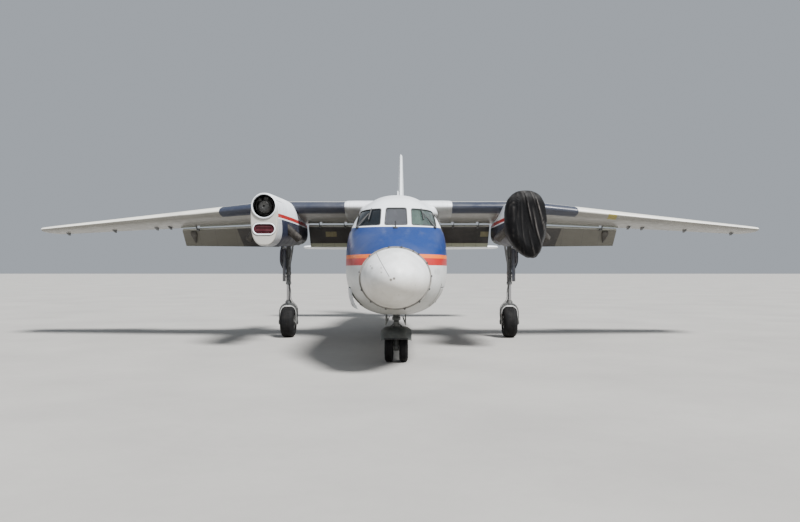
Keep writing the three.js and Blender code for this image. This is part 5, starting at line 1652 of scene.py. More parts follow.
cover_rings = [cover_ring(3.61, 0.04 + 0.04 * k) for k in range(24)]
cover_rings += [cover_ring(s) for s in [3.613, 3.622, 3.635, 3.65, 3.675, 3.7, 3.74, 3.79]
    + span(3.85, 4.62, 0.055)]
cover = skin("engine_cover_cloth", cover_rings, ends=False)
choose(cover)
bpy.ops.object.mode_set(mode="EDIT")
bpy.ops.mesh.select_all(action="DESELECT")
bpy.ops.object.mode_set(mode="OBJECT")
for vertex in cover.data.vertices:
    vertex.select = (vertex.co - at(2.505, 3.606, 2.62)).length < 0.06
bpy.ops.object.mode_set(mode="EDIT")
bpy.ops.mesh.edge_face_add()
face_outwards()
# The folds fan out from the crown: place at the top, place at the hem, width, strength
FOLDS = [(2.19, 2.135, 0.012, 0.5), (2.225, 2.215, 0.01, 0.62), (2.262, 2.3, 0.012, 0.4),
    (2.3, 2.345, 0.011, 0.6), (2.345, 2.43, 0.015, 0.35), (2.395, 2.56, 0.02, 0.5),
    (2.425, 2.69, 0.015, 0.85), (2.47, 2.78, 0.018, 0.8), (2.56, 2.82, 0.014, 0.5), (2.6, 2.93, 0.017, 1.0),
    (2.665, 2.96, 0.013, 0.6)]
# The ridge value shapes the cloth and also sets the painted highlight along each fold.
ridge_values = cover.data.attributes.new("fold", "FLOAT", "POINT")
for index, vertex in enumerate(cover.data.vertices):
    x, y, z = vertex.co
    down = min(1.0, max(0.0, (3.1 - z) / 1.3))
    ridge = 0.0
    for k, (top, hem, width, strength) in enumerate(FOLDS):
        middle = top + (hem - top) * down**0.7 + 0.01 * sin(4.5 * z + 1.9 * k) - 0.06 * (hem - 2.5) * down**4
        fade = min(1.0, max(0.0, 0.55 + 0.75 * sin(4.6 * z + 2.3 * k)))
        ridge = max(ridge, strength * fade * exp(-((x - middle) / width) ** 2))
    ridge_values.data[index].value = ridge
    ahead = min(1.0, max(0.0, (3.8 - (y + LENGTH / 2)) / 0.16))
    broad = 0.5 + 0.5 * sin(11.0 * x + 1.6 * sin(2.6 * z))
    vertex.co.y += ahead * (0.026 * (1 - ridge) + 0.018 * broad)
    hang = max(0.0, (2.5 - z) / 0.72)
    vertex.co.x += 0.125 * hang**2
cover.data.update()
finish_with(cover, "SOLIDIFY", thickness=0.003, offset=-1.0)
fixed(cover, cloth_finish, "cover_fabric", ["engine_cover"], 60)

# %% [markdown]
# ## The wheels
# Each tyre is a turned section: bead, bulging sidewall, shoulder, and a tread with grooves. The wheel
# in it is dished and carries its bolts and its valve.

# %% Tyres, wheels and bolts
LEG = 6.95
# Sidewall from the bead up: share of the rubber's height, share of the half width
SIDEWALL = [(0, 0.79), (0.035, 0.85), (0.088, 0.91), (0.2, 0.975), (0.21, 0.985), (0.24, 0.985),
    (0.25, 0.985), (0.382, 1.0), (0.559, 0.98), (0.718, 0.91), (0.853, 0.8), (0.941, 0.65), (0.985, 0.49)]
DISH = [(0.02, 0.31), (0.33, 0.325), (0.37, 0.36), (0.53, 0.39), (0.63, 0.5), (0.79, 0.7), (0.86, 0.765),
    (0.905, 0.78), (0.998, 0.78)]
MAIN = {"station": LEG, "radius": 0.36, "width": 0.32, "rim": 0.19}
NOSE = {"station": 2.2, "radius": 0.25, "width": 0.15, "rim": 0.13}


def make_tyre(name, x, spec, grooves):
    half, radius, rim = spec["width"] / 2, spec["radius"], spec["rim"]
    wall = [(rim + (radius - rim) * a, half * b) for a, b in SIDEWALL]
    tread = []
    for share in grooves:
        middle, w = half * share, 0.0045
        tread += [(radius, middle - w - 0.002), (radius - 0.007, middle - w), (radius - 0.007, middle + w),
            (radius, middle + w + 0.002)]
    profile = [(r, -d) for r, d in wall] + tread + [(r, d) for r, d in reversed(wall)]
    return turned(name, profile + profile[:1], at(x, spec["station"], radius), (1, 0, 0), 96)


def make_wheel(name, x, spec, bolts, side):
    half, radius, rim = spec["width"] / 2, spec["radius"], spec["rim"]
    centre = at(x, spec["station"], radius)
    face = [(rim * a, half * b) for a, b in DISH]
    parts = [turned(name, [(r, -d) for r, d in face] + [(r, d) for r, d in reversed(face)], centre, (1, 0, 0),
        72)]
    for i in range(bolts):
        turn = 2 * pi * i / bolts
        spot = centre + Vector((side * half * 0.37, rim * 0.45 * cos(turn), rim * 0.45 * sin(turn)))
        parts.append(rod("bolt", spot, spot + Vector((side * half * 0.1, 0, 0)), rim * 0.045, sides=6))
    valve = centre + Vector((side * half * 0.5, rim * 0.7, 0))
    parts.append(rod("valve", valve, valve + Vector((side * half * 0.22, 0, 0)), 0.005, sides=12))
    return parts


main_tyre = make_tyre("main_tyre_left", NACELLE_X, MAIN, [-0.36, -0.12, 0.12, 0.36])
twin = mirrored(main_tyre, "main_tyre_right")
place_piece(main_tyre, "main_wheel_left", tyre_finish, "tyre", ["main_left_tyre"])
place_piece(twin, "main_wheel_right", tyre_finish, "tyre", ["main_right_tyre"])
parts = make_wheel("main_rim_left", NACELLE_X, MAIN, 8, 1)
parts.append(rod("axle", at(NACELLE_X - 0.2116, LEG, 0.36), at(NACELLE_X + 0.2116, LEG, 0.36), 0.0278,
    sides=48))
main_wheel = joined("main_rim_left", *parts)
twin = mirrored(main_wheel, "main_rim_right")
place_piece(main_wheel, "main_wheel_left", hub_finish, "hub_metal", ["main_left_hub"])
place_piece(twin, "main_wheel_right", hub_finish, "hub_metal", ["main_right_hub"])

parts = []
for side, hand in ((1, "left"), (-1, "right")):
    rubber = make_tyre(f"nose_tyre_{hand}", side * 0.125, NOSE, [-0.22, 0.22])
    place_piece(rubber, "nose_wheels", tyre_finish, "tyre", [f"nose_{hand}_tyre"])
    parts += make_wheel("rim", side * 0.125, NOSE, 6, side)
parts.append(rod("axle", at(-0.17, 2.2, 0.25), at(0.17, 2.2, 0.25), 0.0278, sides=48))
for side in (-1, 1):
    parts.append(rod("axle_nut", at(side * 0.168, 2.2, 0.25), at(side * 0.184, 2.2, 0.25), 0.022, sides=6,
        round_by=0.002))
nose_wheels = joined("nose_rims", *parts)
place_piece(nose_wheels, "nose_wheels", hub_finish, "hub_metal", ["nose_hubs"])

# %% [markdown]
# ## The main legs
# The strut and its bright piston stand on a fork shaped like an arch over the tyre. A scissor link
# stops the piston from turning, a brace runs to the well's roof, and the brake pipes come down the
# strut. The brake sits in the wheel's inner dish and stays with the leg.

# %% The arch over the tyre
FORK = {"half": 0.216, "shoulder": 0.56, "top": 0.813, "deep": 0.075, "thick": 0.036, "power": 2.3}


def arch_line(inset, steps=32):
    """The fork's outline at an inset, seen from ahead, from one foot to the other."""
    half = FORK["half"] - inset
    crown = FORK["top"] - inset * FORK["deep"] / FORK["thick"]
    line = [(NACELLE_X + half, 0.298)]
    for i in range(steps + 1):
        angle = pi * i / steps
        c, s = cos(angle), max(0.0, sin(angle))
        line.append((NACELLE_X + copysign(abs(c) ** (2 / FORK["power"]), c) * half,
            FORK["shoulder"] + s ** (2 / FORK["power"]) * (crown - FORK["shoulder"])))
    return line + [(NACELLE_X - half, 0.298)]


def arch_band(name, outer, inner, deep):
    """The part of the arch between two insets; from the side its arms narrow towards the axle."""
    outline = arch_line(outer) + arch_line(inner)[::-1]
    band = prism(name, [at(x, LEG - deep, z) for x, z in outline], (0, 2 * deep, 0))
    side = [(-0.03, 0.298), (-0.046, 0.34), (-deep, 0.64), (-deep, 0.83), (deep, 0.83), (deep, 0.64),
        (0.046, 0.34), (0.03, 0.298)]
    cut(band, prism("side", [at(2.2, LEG + a, z) for a, z in side], (0.8, 0, 0)), how="INTERSECT")
    return rounded(band, 0.004, 2, 50)


outer_arch = arch_band("main_fork_left", 0.0, 0.027, 0.06)
inner_arch = arch_band("fork_band_left", 0.0265, 0.0362, 0.0625)
for arch in (outer_arch, inner_arch):
    cut(arch, rod("bore", at(2.3, LEG, 0.36), at(2.9, LEG, 0.36), 0.0284, sides=48))
parts = [outer_arch]
for side in (-1, 1):
    foot = at(NACELLE_X + side * 0.2155, LEG, 0.36)
    parts += [turned("eye", [(0.03, 0), (0.03, 0.009), (0.033, 0.012), (0.045, 0.012), (0.049, 0.009),
        (0.049, 0), (0.03, 0)], foot, (side, 0, 0), 48), rod("cap", foot + Vector((side * -0.002, 0, 0)),
        foot + Vector((side * 0.014, 0, 0)), 0.0305, sides=6, round_by=0.002)]
parts.append(turned("crown_boss", [(0.002, 0.77), (0.07, 0.77), (0.074, 0.776), (0.074, 0.826),
    (0.068, 0.838), (0.056, 0.842), (0.056, 0.872), (0.053, 0.876), (0.002, 0.876)], at(NACELLE_X, LEG, 0),
    (0, 0, 1), 48))
for dx in (-0.062, 0.062):
    parts.append(rod("crown_bolt", at(NACELLE_X + dx, 6.91, 0.81), at(NACELLE_X + dx, 6.91, 0.846), 0.01,
        sides=6))
fork = joined("main_fork_left", *parts)
fork_finish = plain("fork_paint", (0.06, 0.063, 0.064), (0.035, 0.037, 0.038), (0.4, 0.65), 0.2, 9.0, 0.15,
    0.5)
# Painted light: the arch's inner band is pale as if lit from the ground below.
fork_painted_light_finish = plain("fork_edge_painted_light", (0.66, 0.66, 0.64), (0.5, 0.5, 0.48), (0.3, 0.5), 0.3, 12.0, 0.1, 0.35)
fixed_pair(fork, fork_finish, "gear_paint", nodes=["main_leg"])
plan = [(2.658, 6.845), (2.69, 6.9), (2.725, 6.975), (2.75, 7.04), (2.765, 7.095)]
parts = [rounded(prism("leg_panel_left", [at(x, s, 1.312) for x, s in plan] + [at(x - 0.009, s + 0.004, 1.312)
    for x, s in reversed(plan)], (0, 0, 0.768)), 0.003, 2, 50)]
for z in (1.42, 1.66, 1.9):
    parts.append(rod("bracket", at(2.62, LEG, z), at(2.708, LEG, z), 0.011, sides=20))
fixed_pair(joined("leg_panel_left", *parts), nacelle_finish, "nacelle_paint")
fixed_pair(inner_arch, fork_painted_light_finish, "gear_paint")

# %% Strut, piston, scissor link, brace, brake and pipes
parts = [turned("main_strut_left", [(0.002, 1.24), (0.052, 1.24), (0.062, 1.244), (0.064, 1.252),
    (0.064, 1.292), (0.06, 1.3), (0.055, 1.304), (0.055, 1.47), (0.062, 1.476), (0.063, 1.484), (0.063, 1.52),
    (0.062, 1.528), (0.055, 1.534), (0.055, 2.02), (0.06, 2.024), (0.06, 2.05), (0.055, 2.054), (0.055, 2.36),
    (0.064, 2.366), (0.064, 2.4496), (0.002, 2.4496)], at(NACELLE_X, LEG, 0), (0, 0, 1), 48)]


def link_arm(name, outline, half):
    places = [at(NACELLE_X - half, LEG + a, z) for a, z in round_corners(outline, 0.01, 4)]
    return rounded(prism(name, places, (2 * half, 0, 0)), 0.0025, 2, 50)


parts.append(link_arm("upper_link", [(0.035, 1.3), (0.165, 1.088), (0.186, 1.062), (0.16, 1.04),
    (0.13, 1.066), (0.03, 1.235)], 0.024))
lower_link = link_arm("lower_link", [(0.035, 0.83), (0.16, 1.03), (0.188, 1.06), (0.163, 1.084),
    (0.128, 1.058), (0.03, 0.89)], 0.013)
parts += [lower_link, rod("link_pin", at(NACELLE_X - 0.031, 7.113, 1.061),
    at(NACELLE_X + 0.031, 7.113, 1.061), 0.011, sides=24, round_by=0.002)]
for z in (1.265, 0.858):
    parts.append(rod("link_pin", at(NACELLE_X - 0.033, 6.996, z), at(NACELLE_X + 0.033, 6.996, z), 0.013,
        sides=24, round_by=0.002))
low, high = at(NACELLE_X, LEG, 1.5), at(NACELLE_X - 0.165, 6.76, 2.39)
along = (high - low).normalized()
parts += [rod("brace", low + along * 0.08, high - along * 0.06, 0.022, sides=32),
    rod("brace_sleeve", low + along * 0.3, low + along * 0.62, 0.0255, sides=32, round_by=0.003)]
for end in (low + along * 0.085, high - along * 0.05):
    parts.append(rod("brace_eye", end + Vector((-0.022, 0, 0)), end + Vector((0.022, 0, 0)), 0.03, sides=32,
        round_by=0.004))
strut = joined("main_strut_left", *parts)
fixed_pair(strut, gear_finish, "gear_paint")

piston = turned("main_piston_left", [(0.002, 0.862), (0.044, 0.862), (0.045, 0.866), (0.045, 1.256),
    (0.002, 1.256)], at(NACELLE_X, LEG, 0), (0, 0, 1), 64)
fixed_pair(piston, chrome_finish, "gear_paint")

x = NACELLE_X
parts = [turned("main_brake_left", [(0.034, -0.15), (0.034, -0.072), (0.06, -0.07), (0.092, -0.072),
    (0.096, -0.078), (0.096, -0.096), (0.09, -0.1), (0.09, -0.106), (0.096, -0.11), (0.096, -0.128),
    (0.09, -0.132), (0.084, -0.146), (0.06, -0.15), (0.034, -0.15)], at(x, LEG, 0.36), (1, 0, 0), 56)]
for i in range(5):
    turn = radians(40 + 70 * i)
    spot = at(x - 0.146, LEG, 0.36) + Vector((0, 0.072 * cos(turn), 0.072 * sin(turn)))
    parts.append(rod("brake_piston", spot, spot + Vector((-0.022, 0, 0)), 0.015, sides=24, round_by=0.003))
parts.append(block("brake_arm", (x - 0.184, x - 0.146), (6.92, 6.98), (0.395, 0.455), 0.006))
fixed_pair(joined("main_brake_left", *parts), steel_finish, "gear_paint")

parts = []
for dx, dy in ((0.018, 0.0), (-0.012, 0.004)):
    parts.append(tube("pipe", [at(x + dx, 6.888 + dy, 2.4), at(x + dx, 6.887 + dy, 2.05),
        at(x + dx, 6.886 + dy, 1.6), at(x + dx - 0.02, 6.876, 1.28), at(x + dx - 0.06, 6.862, 1.08),
        at(x + dx - 0.05, 6.866, 0.93), at(x + dx - 0.1, 6.88, 0.83), at(x + dx - 0.205, 6.905, 0.74),
        at(x - 0.228, 6.915, 0.6), at(x - 0.224, 6.93, 0.47), at(x - 0.19, 6.94, 0.43)], 0.0065, 12))
for z in (2.2, 1.86, 1.505):
    parts.append(block("pipe_clip", (x - 0.024, x + 0.03), (6.878, 6.905), (z - 0.012, z + 0.012), 0.003))
for dx, z in ((-0.035, 1.34), (0.035, 1.34)):
    parts.append(rod("jack_stud", at(x + dx, 6.905, z), at(x + dx, 6.886, z), 0.009, sides=6))
fixed_pair(joined("brake_pipes_left", *parts), dark_finish, "gear_paint")

# %% [markdown]
# ## The nose leg
# The nose leg's strut stays with the aircraft; the piston under it steers and carries the axle, the
# mudguard and a small scissor link. The bay's two doors hang open beside it.

# %% Nose strut, drag brace, steering piston and mudguard
parts = [turned("nose_strut", [(0.002, 0.7164), (0.06, 0.7164), (0.07, 0.72), (0.074, 0.728), (0.074, 0.764),
    (0.07, 0.772), (0.062, 0.776), (0.062, 0.86), (0.076, 0.866), (0.077, 0.874), (0.077, 0.93),
    (0.076, 0.938), (0.066, 0.944), (0.066, 1.09), (0.077, 1.096), (0.077, 1.1496), (0.002, 1.1496)],
    at(0, 2.2, 0), (0, 0, 1), 56)]
low, high = at(0, 2.2, 0.94), at(0, 1.56, 1.114)
along = (high - low).normalized()
parts += [rod("drag_brace", low + along * 0.05, high, 0.022, sides=32),
    rod("drag_sleeve", low + along * 0.24, low + along * 0.46, 0.0245, sides=32, round_by=0.003),
    rod("drag_pin", high + Vector((-0.045, 0, 0)), high + Vector((0.045, 0, 0)), 0.02, sides=32,
    round_by=0.003)]
for side in (-1, 1):
    parts.append(block("drag_lug", sorted((side * 0.028, side * 0.04)), (1.535, 1.59), (1.09, 1.1496), 0.003))
parts += [rod("steering_jack", at(-0.125, 2.292, 0.902), at(0.125, 2.292, 0.902), 0.026, sides=32,
    round_by=0.004), rod("steering_rod", at(-0.148, 2.292, 0.902), at(0.148, 2.292, 0.902), 0.011, sides=20),
    block("jack_mount", (-0.03, 0.03), (2.25, 2.3), (0.875, 0.93), 0.005)]
fixed(joined("nose_strut", *parts), shaded_nose_gear_finish, "gear_paint", ["nose_leg"])

parts = [turned("nose_lamp_body", [(0.002, 0.0), (0.024, 0.0), (0.046, 0.022), (0.052, 0.05), (0.052, 0.06),
    (0.048, 0.06), (0.046, 0.054), (0.002, 0.054)], at(0, 2.115, 0.985), (0, -1, 0), 48),
    rod("lamp_foot", at(0, 2.14, 0.985), at(0, 2.095, 0.985), 0.014, sides=24)]
fixed(joined("nose_lamp_body", *parts), gear_finish, "gear_paint")
lens = turned("nose_lamp_lens", [(0.002, 0.0545), (0.045, 0.0545), (0.0455, 0.058), (0.036, 0.063),
    (0.002, 0.066)], at(0, 2.115, 0.985), (0, -1, 0), 48)
fixed(lens, clear_lamp, "gear_paint")

piston = turned("nose_piston", [(0.002, 0.29), (0.04, 0.29), (0.041, 0.3), (0.041, 0.47), (0.046, 0.475),
    (0.046, 0.7156), (0.002, 0.7156)], at(0, 2.2, 0), (0, 0, 1), 56)
place_piece(piston, "nose_steering", steel_finish, "gear_paint")
parts = [turned("nose_fork_body", [(0.0288, -0.042), (0.05, -0.042), (0.057, -0.038), (0.058, -0.03),
    (0.058, 0.03), (0.057, 0.038), (0.05, 0.042), (0.0288, 0.042), (0.0288, -0.042)], at(0, 2.2, 0.25),
    (1, 0, 0), 56), turned("lower_collar", [(0.002, 0.285), (0.047, 0.285), (0.049, 0.29), (0.049, 0.4),
    (0.046, 0.405), (0.002, 0.405)], at(0, 2.2, 0), (0, 0, 1), 48)]
guard_rings = []
for x in [-0.26, -0.255] + span(-0.24, 0.24, 0.02) + [0.255, 0.26]:
    drop = 0.058 * max(0.0, (abs(x) - 0.13) / 0.13) ** 2 - 0.01
    ring = []
    for radius, turns in ((0.352, range(28, 153, 4)), (0.338, range(152, 27, -4))):
        for degrees in turns:
            turn = radians(degrees)
            ring.append(at(x, 2.2 + (radius - drop) * cos(turn), 0.25 + (radius - drop) * sin(turn)))
    guard_rings.append(ring)
parts.append(skin("mudguard", guard_rings))
for side in (-1, 1):
    for ahead in (-1, 1):
        turn = radians(90 - ahead * 34)
        tip = at(side * 0.17, 2.2 + 0.353 * cos(turn), 0.25 + 0.353 * sin(turn))
        parts += [rod("guard_stay", at(side * 0.03, 2.2 + ahead * 0.03, 0.665), tip, 0.008, sides=16),
            rod("stay_foot", tip - Vector((0, 0, 0.003)), tip + Vector((0, 0, 0.009)), 0.014, sides=16,
            round_by=0.002)]
parts.append(turned("guard_collar", [(0.0465, 0.595), (0.062, 0.595), (0.064, 0.6), (0.064, 0.612),
    (0.056, 0.62), (0.056, 0.69), (0.053, 0.694), (0.0465, 0.694), (0.0465, 0.595)], at(0, 2.2, 0), (0, 0, 1),
    48))
for z0, z1, half in ((0.68, 0.56, 0.014), (0.44, 0.566, 0.008)):
    outline = [(0.04, z0 - 0.018), (0.04, z0 + 0.018), (0.104, z1 + 0.012), (0.104, z1 - 0.012)]
    places = [at(-half, 2.2 + a, z) for a, z in round_corners(outline, 0.008, 4)]
    parts.append(rounded(prism("scissor", places, (2 * half, 0, 0)), 0.002, 2, 50))
nose_fork = joined("nose_fork_body", *parts)
place_piece(nose_fork, "nose_steering", shaded_nose_gear_finish, "gear_paint", ["nose_fork"])
flap_line = [(2.2 + r * cos(radians(a)), 0.25 + r * sin(radians(a)))
    for r, turns in ((0.366, (149, 150.5, 152, 153.5)), (0.3625, (153.5, 152, 150.5, 149))) for a in turns]
flap = rounded(prism("guard_flap", [at(-0.2, s, z) for s, z in flap_line], (0.4, 0, 0)), 0.001, 1, 50)
place_piece(flap, "nose_steering", gasket_finish, "gear_paint")

# %% Nose bay doors and the two locker hatches
parts = [rounded(block("nose_bay_door_left", (0.152, 0.1692), (1.463, 2.082), (0.682, 0.8316)), 0.005, 2, 50)]
for z in (0.715, 0.79):
    parts.append(block("door_rib", (0.1455, 0.153), (1.5, 2.045), (z - 0.007, z + 0.007), 0.003))
for station in (1.52, 1.77, 2.02):
    parts.append(block("door_rib", (0.146, 0.153), (station - 0.006, station + 0.006), (0.7, 0.81), 0.002))
for station in (1.6, 1.92):
    parts.append(rod("door_link", at(0.15, station, 0.705), at(0.112, station, 0.806), 0.007, sides=16))
pair(joined("nose_bay_door_left", *parts), "nose_door", shaded_nose_gear_finish, "gear_paint", nodes=["nose_door"])


def hatch_layer(name, near, far, low, high, front, back):
    layer = cut(hull(name, FUSELAGE, span(1.3, 2.26, 0.06), inset=near, count=112),
        hull("inner", FUSELAGE, span(1.24, 2.32, 0.06), inset=far, count=112))
    return cut(layer, block("hatch_box", (0.33, 1.0), (front, back), (low, high)), how="INTERSECT")


parts = [rounded(hatch_layer("nose_hatch_leaf", 0.0, 0.026, 1.006, 1.287, 1.466, 2.094), 0.003, 2, 50)]
for z in (1.05, 1.16, 1.26):
    parts.append(hatch_layer("hatch_rib", 0.0262, 0.036, z - 0.008, z + 0.008, 1.5, 2.06))
hatch = joined("nose_hatch_left_leaf", *parts)
hatch_paint = plain("hatch_paint", (0.52, 0.54, 0.55), (0.42, 0.44, 0.45), (0.3, 0.5), 0.0, 6.0, 0.1, 0.3)
hatch_origin, hatch_axis = (0.78513, -6.07, 1.3), (-0.129683, -0.991555, 0)
parts = []
for station in (1.58, 1.98):
    place = at(side_at(station, 1.045), station, 1.045)
    outward = Vector((1, -0.13, -0.45)).normalized()
    parts.append(rod("hatch_latch", place - outward * 0.006, place + outward * 0.004, 0.016, sides=32,
        round_by=0.002))
latch_left = joined("nose_hatch_latches_left", *parts)
hatch_right = turned_about(copied(hatch, "hatch_copy"), hatch_origin, hatch_axis, 20)
latch_right = turned_about(copied(latch_left, "latch_copy"), hatch_origin, hatch_axis, 20)
place_piece(hatch, "nose_hatch_left", fuselage_finish, "nose_paint", ["nose_hatch_left"])
place_piece(latch_left, "nose_hatch_left", shaft_finish, "nose_paint")
place_piece(mirrored(hatch_right, "nose_hatch_right_leaf"), "nose_hatch_right", hatch_paint, "nose_paint",
    ["nose_hatch_right"])
place_piece(mirrored(latch_right, "nose_hatch_latches_right"), "nose_hatch_right", shaft_finish, "nose_paint")
remove(hatch_right, latch_right)

# %% [markdown]
# ## The cockpit
# An instrument desk with its hood and dials, a pedestal with levers, and two seats with crowned
# cushions show through the glass. Grey and green boards close the centre and the left panes.

# %% Desk, dials, pedestal and control wheels
outline = round_corners([(1.95, 1.82), (1.99, 1.7), (2.06, 1.7), (2.14, 2.17), (2.1, 2.215), (1.93, 2.215)],
    0.018, 4)
parts = [rounded(prism("cockpit_desk", [at(-0.598, s, z) for s, z in outline], (1.196, 0, 0)), 0.004, 2, 50),
    rounded(block("pedestal", (-0.128, 0.128), (2.02, 2.328), (1.3606, 1.798)), 0.012, 2, 50),
    block("pedestal_top", (-0.118, 0.118), (2.08, 2.318), (1.796, 1.812), 0.004)]
hood = round_corners([(1.925, 2.214), (2.105, 2.214), (2.185, 2.168), (2.188, 2.176), (2.112, 2.224),
    (1.925, 2.224)], 0.004, 3)
parts.append(rounded(prism("hood", [at(-0.6, s, z) for s, z in hood], (1.2, 0, 0)), 0.002, 1, 50))
desk = joined("cockpit_desk", *parts)
fixed(desk, lining_finish, "cockpit_trim", ["cockpit_panel"])

face_up = Vector((0, 0.168, 0.986))
face_out = Vector((0, 0.986, -0.168))
rims, faces = [], []
for x in (-0.47, -0.355, -0.24, 0.24, 0.355, 0.47, -0.06, 0.06):
    for along in (0.13, 0.25, 0.37):
        spot = at(x, 2.06, 1.7) + face_up * along
        rims.append(turned("dial_rim", [(0.034, -0.004), (0.034, 0.006), (0.037, 0.009), (0.044, 0.009),
            (0.047, 0.006), (0.047, -0.004), (0.034, -0.004)], spot, face_out, 28))
        faces.append(rod("dial_face", spot - face_out * 0.002, spot + face_out * 0.0035, 0.0338, sides=28))
for x, station in [(-0.07, 2.14), (-0.03, 2.14), (0.03, 2.14), (0.07, 2.14), (-0.05, 2.24), (0.05, 2.24)]:
    rims += [rod("lever", at(x, station, 1.8), at(x, station - 0.03, 1.875), 0.006, sides=12),
        rod("lever_knob", at(x, station - 0.026, 1.866), at(x, station - 0.034, 1.892), 0.014, sides=20,
        round_by=0.004)]
for side in (-1, 1):
    centre = at(side * 0.37, 2.32, 1.9)
    rims.append(rod("column", at(side * 0.37, 2.1, 1.78), centre, 0.017, sides=20))
    grip = [centre + Vector((0.14 * cos(radians(a)), 0, 0.11 * sin(radians(a)))) for a in range(-215, 36, 10)]
    rims += [tube("control_wheel", grip, 0.012, 12), rod("wheel_bar", centre + Vector((-0.13, 0, -0.03)),
        centre + Vector((0.13, 0, -0.03)), 0.011, sides=16)]
fixed(joined("cockpit_controls", *rims), dark_finish, "cockpit_trim")
dial_recipe = Recipe("dial_faces")
rim_light = dial_recipe.spread(dial_recipe.noise(60.0), 0.4, 0.6)
dial_finish = dial_recipe.done(dial_recipe.mix(rim_light, (0.02, 0.02, 0.022), (0.16, 0.17, 0.17)),
    (0.05, 0.15))
fixed(joined("dial_faces", *faces), dial_finish, "cockpit_trim")


# %% The seats and their cushions
def cushion(name, x, low, high, rise, tilt=0.0, channels=3):
    """A crowned pad: a cube divided finely, its faces swollen between pulled-in edges."""
    (s0, z0), (s1, z1) = low, high
    bpy.ops.object.select_all(action="DESELECT")
    bpy.ops.mesh.primitive_cube_add(size=2)
    pad = named(name)
    bpy.ops.object.mode_set(mode="EDIT")
    bpy.ops.mesh.select_all(action="SELECT")
    bpy.ops.mesh.subdivide(number_cuts=15)
    bpy.ops.object.mode_set(mode="OBJECT")
    half = Vector(((x[1] - x[0]) / 2, (s1 - s0) / 2, (z1 - z0) / 2))
    upright_pad = half.z > half.y
    for vertex in pad.data.vertices:
        u, v, w = vertex.co
        flat, tall = (v, w) if upright_pad else (w, v)
        swell = (1 - abs(u) ** 2.6) * (1 - abs(tall) ** 2.6)
        groove = exp(-((((u + 1) * channels / 2 + 0.5) % 1 - 0.5) / 0.07) ** 2) * swell if channels else 0
        thick = 0.52 + rise * swell - 0.1 * groove
        pull = 1 - 0.035 * (1 - abs(u) ** 2) * (abs(tall) > 0.9)
        sag = 1 - 0.035 * (1 - abs(tall) ** 2) * (abs(u) > 0.9)
        flat = flat * min(1.0, thick)
        if upright_pad:
            vertex.co = (u * half.x * sag, flat * half.y, tall * half.z * pull)
        else:
            vertex.co = (u * half.x * sag, tall * half.y * pull, flat * half.z)
    turn = Matrix.Rotation(radians(tilt), 4, "X")
    middle = at((x[0] + x[1]) / 2, (s0 + s1) / 2, (z0 + z1) / 2)
    pad.data.transform(Matrix.Translation(middle) @ turn)
    pad.matrix_world = Matrix.Identity(4)
    finish_with(pad, "SUBSURF", levels=1, render_levels=1)
    return pad


for side, hand in ((1, "left"), (-1, "right")):
    low_x, high_x = sorted((side * 0.152, side * 0.588))
    frame_parts = [block("seat_base", (low_x + 0.05, high_x - 0.05), (2.6, 2.86), (1.3606, 1.56), 0.012),
        block("seat_pan", (low_x + 0.01, high_x - 0.01), (2.53, 2.92), (1.6, 1.655), 0.012)]
    back = round_corners([(2.915, 1.66), (2.955, 1.66), (3.095, 2.325), (3.055, 2.335)], 0.01, 3)
    frame_parts.append(rounded(prism("seat_back", [at(low_x + 0.02, s, z) for s, z in back],
        (high_x - low_x - 0.04, 0, 0)), 0.006, 2, 50))
    for x in (low_x + 0.03, high_x - 0.03):
        frame_parts += [rod("seat_rail", at(x, 2.57, 1.372), at(x, 2.89, 1.372), 0.011, sides=16),
            rod("seat_post", at(x, 2.62, 1.37), at(x, 2.62, 1.62), 0.013, sides=16),
            rod("seat_post", at(x, 2.84, 1.37), at(x, 2.84, 1.62), 0.013, sides=16)]
    fixed(joined(f"seat_frame_{hand}", *frame_parts), gear_finish, "seat_trim", [f"seat_{hand}"])
    pads = [cushion(f"seat_pad_{hand}", (low_x + 0.015, high_x - 0.015), (2.515, 1.652), (2.9, 1.775), 0.48,
        2.0), cushion(f"back_pad_{hand}", (low_x + 0.025, high_x - 0.025), (2.905, 1.76), (2.995, 2.335),
        0.48, -11.5)]
    for pad in pads:
        fixed(pad, leather_finish, "seat_trim", smooth=60)

# %% Boards behind the panes, wipers and the mast ahead of the windscreen
for name, pane, low_x, high_x, paint in [("centre_board", 0, -1, 1, grey_shade_finish),
        ("green_board", 1, -1, 0.445, shade_finish), ("outer_board", 1, 0.45, 1, grey_shade_finish)]:
    outline = round_corners(moved_in(FRONT_PANES[pane], 0.012), 0.035)
    board = cut(hull(name, FUSELAGE, span(1.5, 3.2, 0.1), inset=0.047, count=72),
        hull("far", FUSELAGE, span(1.45, 3.25, 0.1), inset=0.052, count=72))
    cut(board, prism("board_cut", [at(x, 1.3, z) for x, z in outline], (0, 1.42, 0)), how="INTERSECT")
    cut(board, block("board_part", (low_x, high_x), (1.3, 3.0), (2.0, 3.0)), how="INTERSECT")
    fixed(board, paint, "cockpit_trim")

pivot, elbow = nose_place(0.645, 2.288, 0.016), nose_place(0.457, 2.512, 0.03)
parts = [rod("wiper_arm", pivot, elbow, 0.013, 0.009, 20), rod("wiper_stay",
    pivot + Vector((0.03, 0, 0.012)), elbow + Vector((0.012, 0, -0.004)), 0.005, 0.004, 12),
    rod("wiper_hub", nose_place(0.645, 2.288, -0.01), nose_place(0.645, 2.288, 0.03), 0.024, sides=24,
    round_by=0.003)]
line = [nose_place(0.46 - 0.042 * t, 2.412 + 0.205 * t, 0.02) for t in (0, 0.25, 0.5, 0.75, 1)]
parts += [tube("wiper_frame", line, 0.01, 12), rod("wiper_clip", nose_place(0.44, 2.512, 0.01),
    nose_place(0.44, 2.512, 0.036), 0.012, sides=16)]
line = [nose_place(0.46 - 0.042 * t, 2.412 + 0.205 * t, 0.009) for t in (0, 0.25, 0.5, 0.75, 1)]
parts.append(tube("wiper_rubber", line, 0.0045, 8))
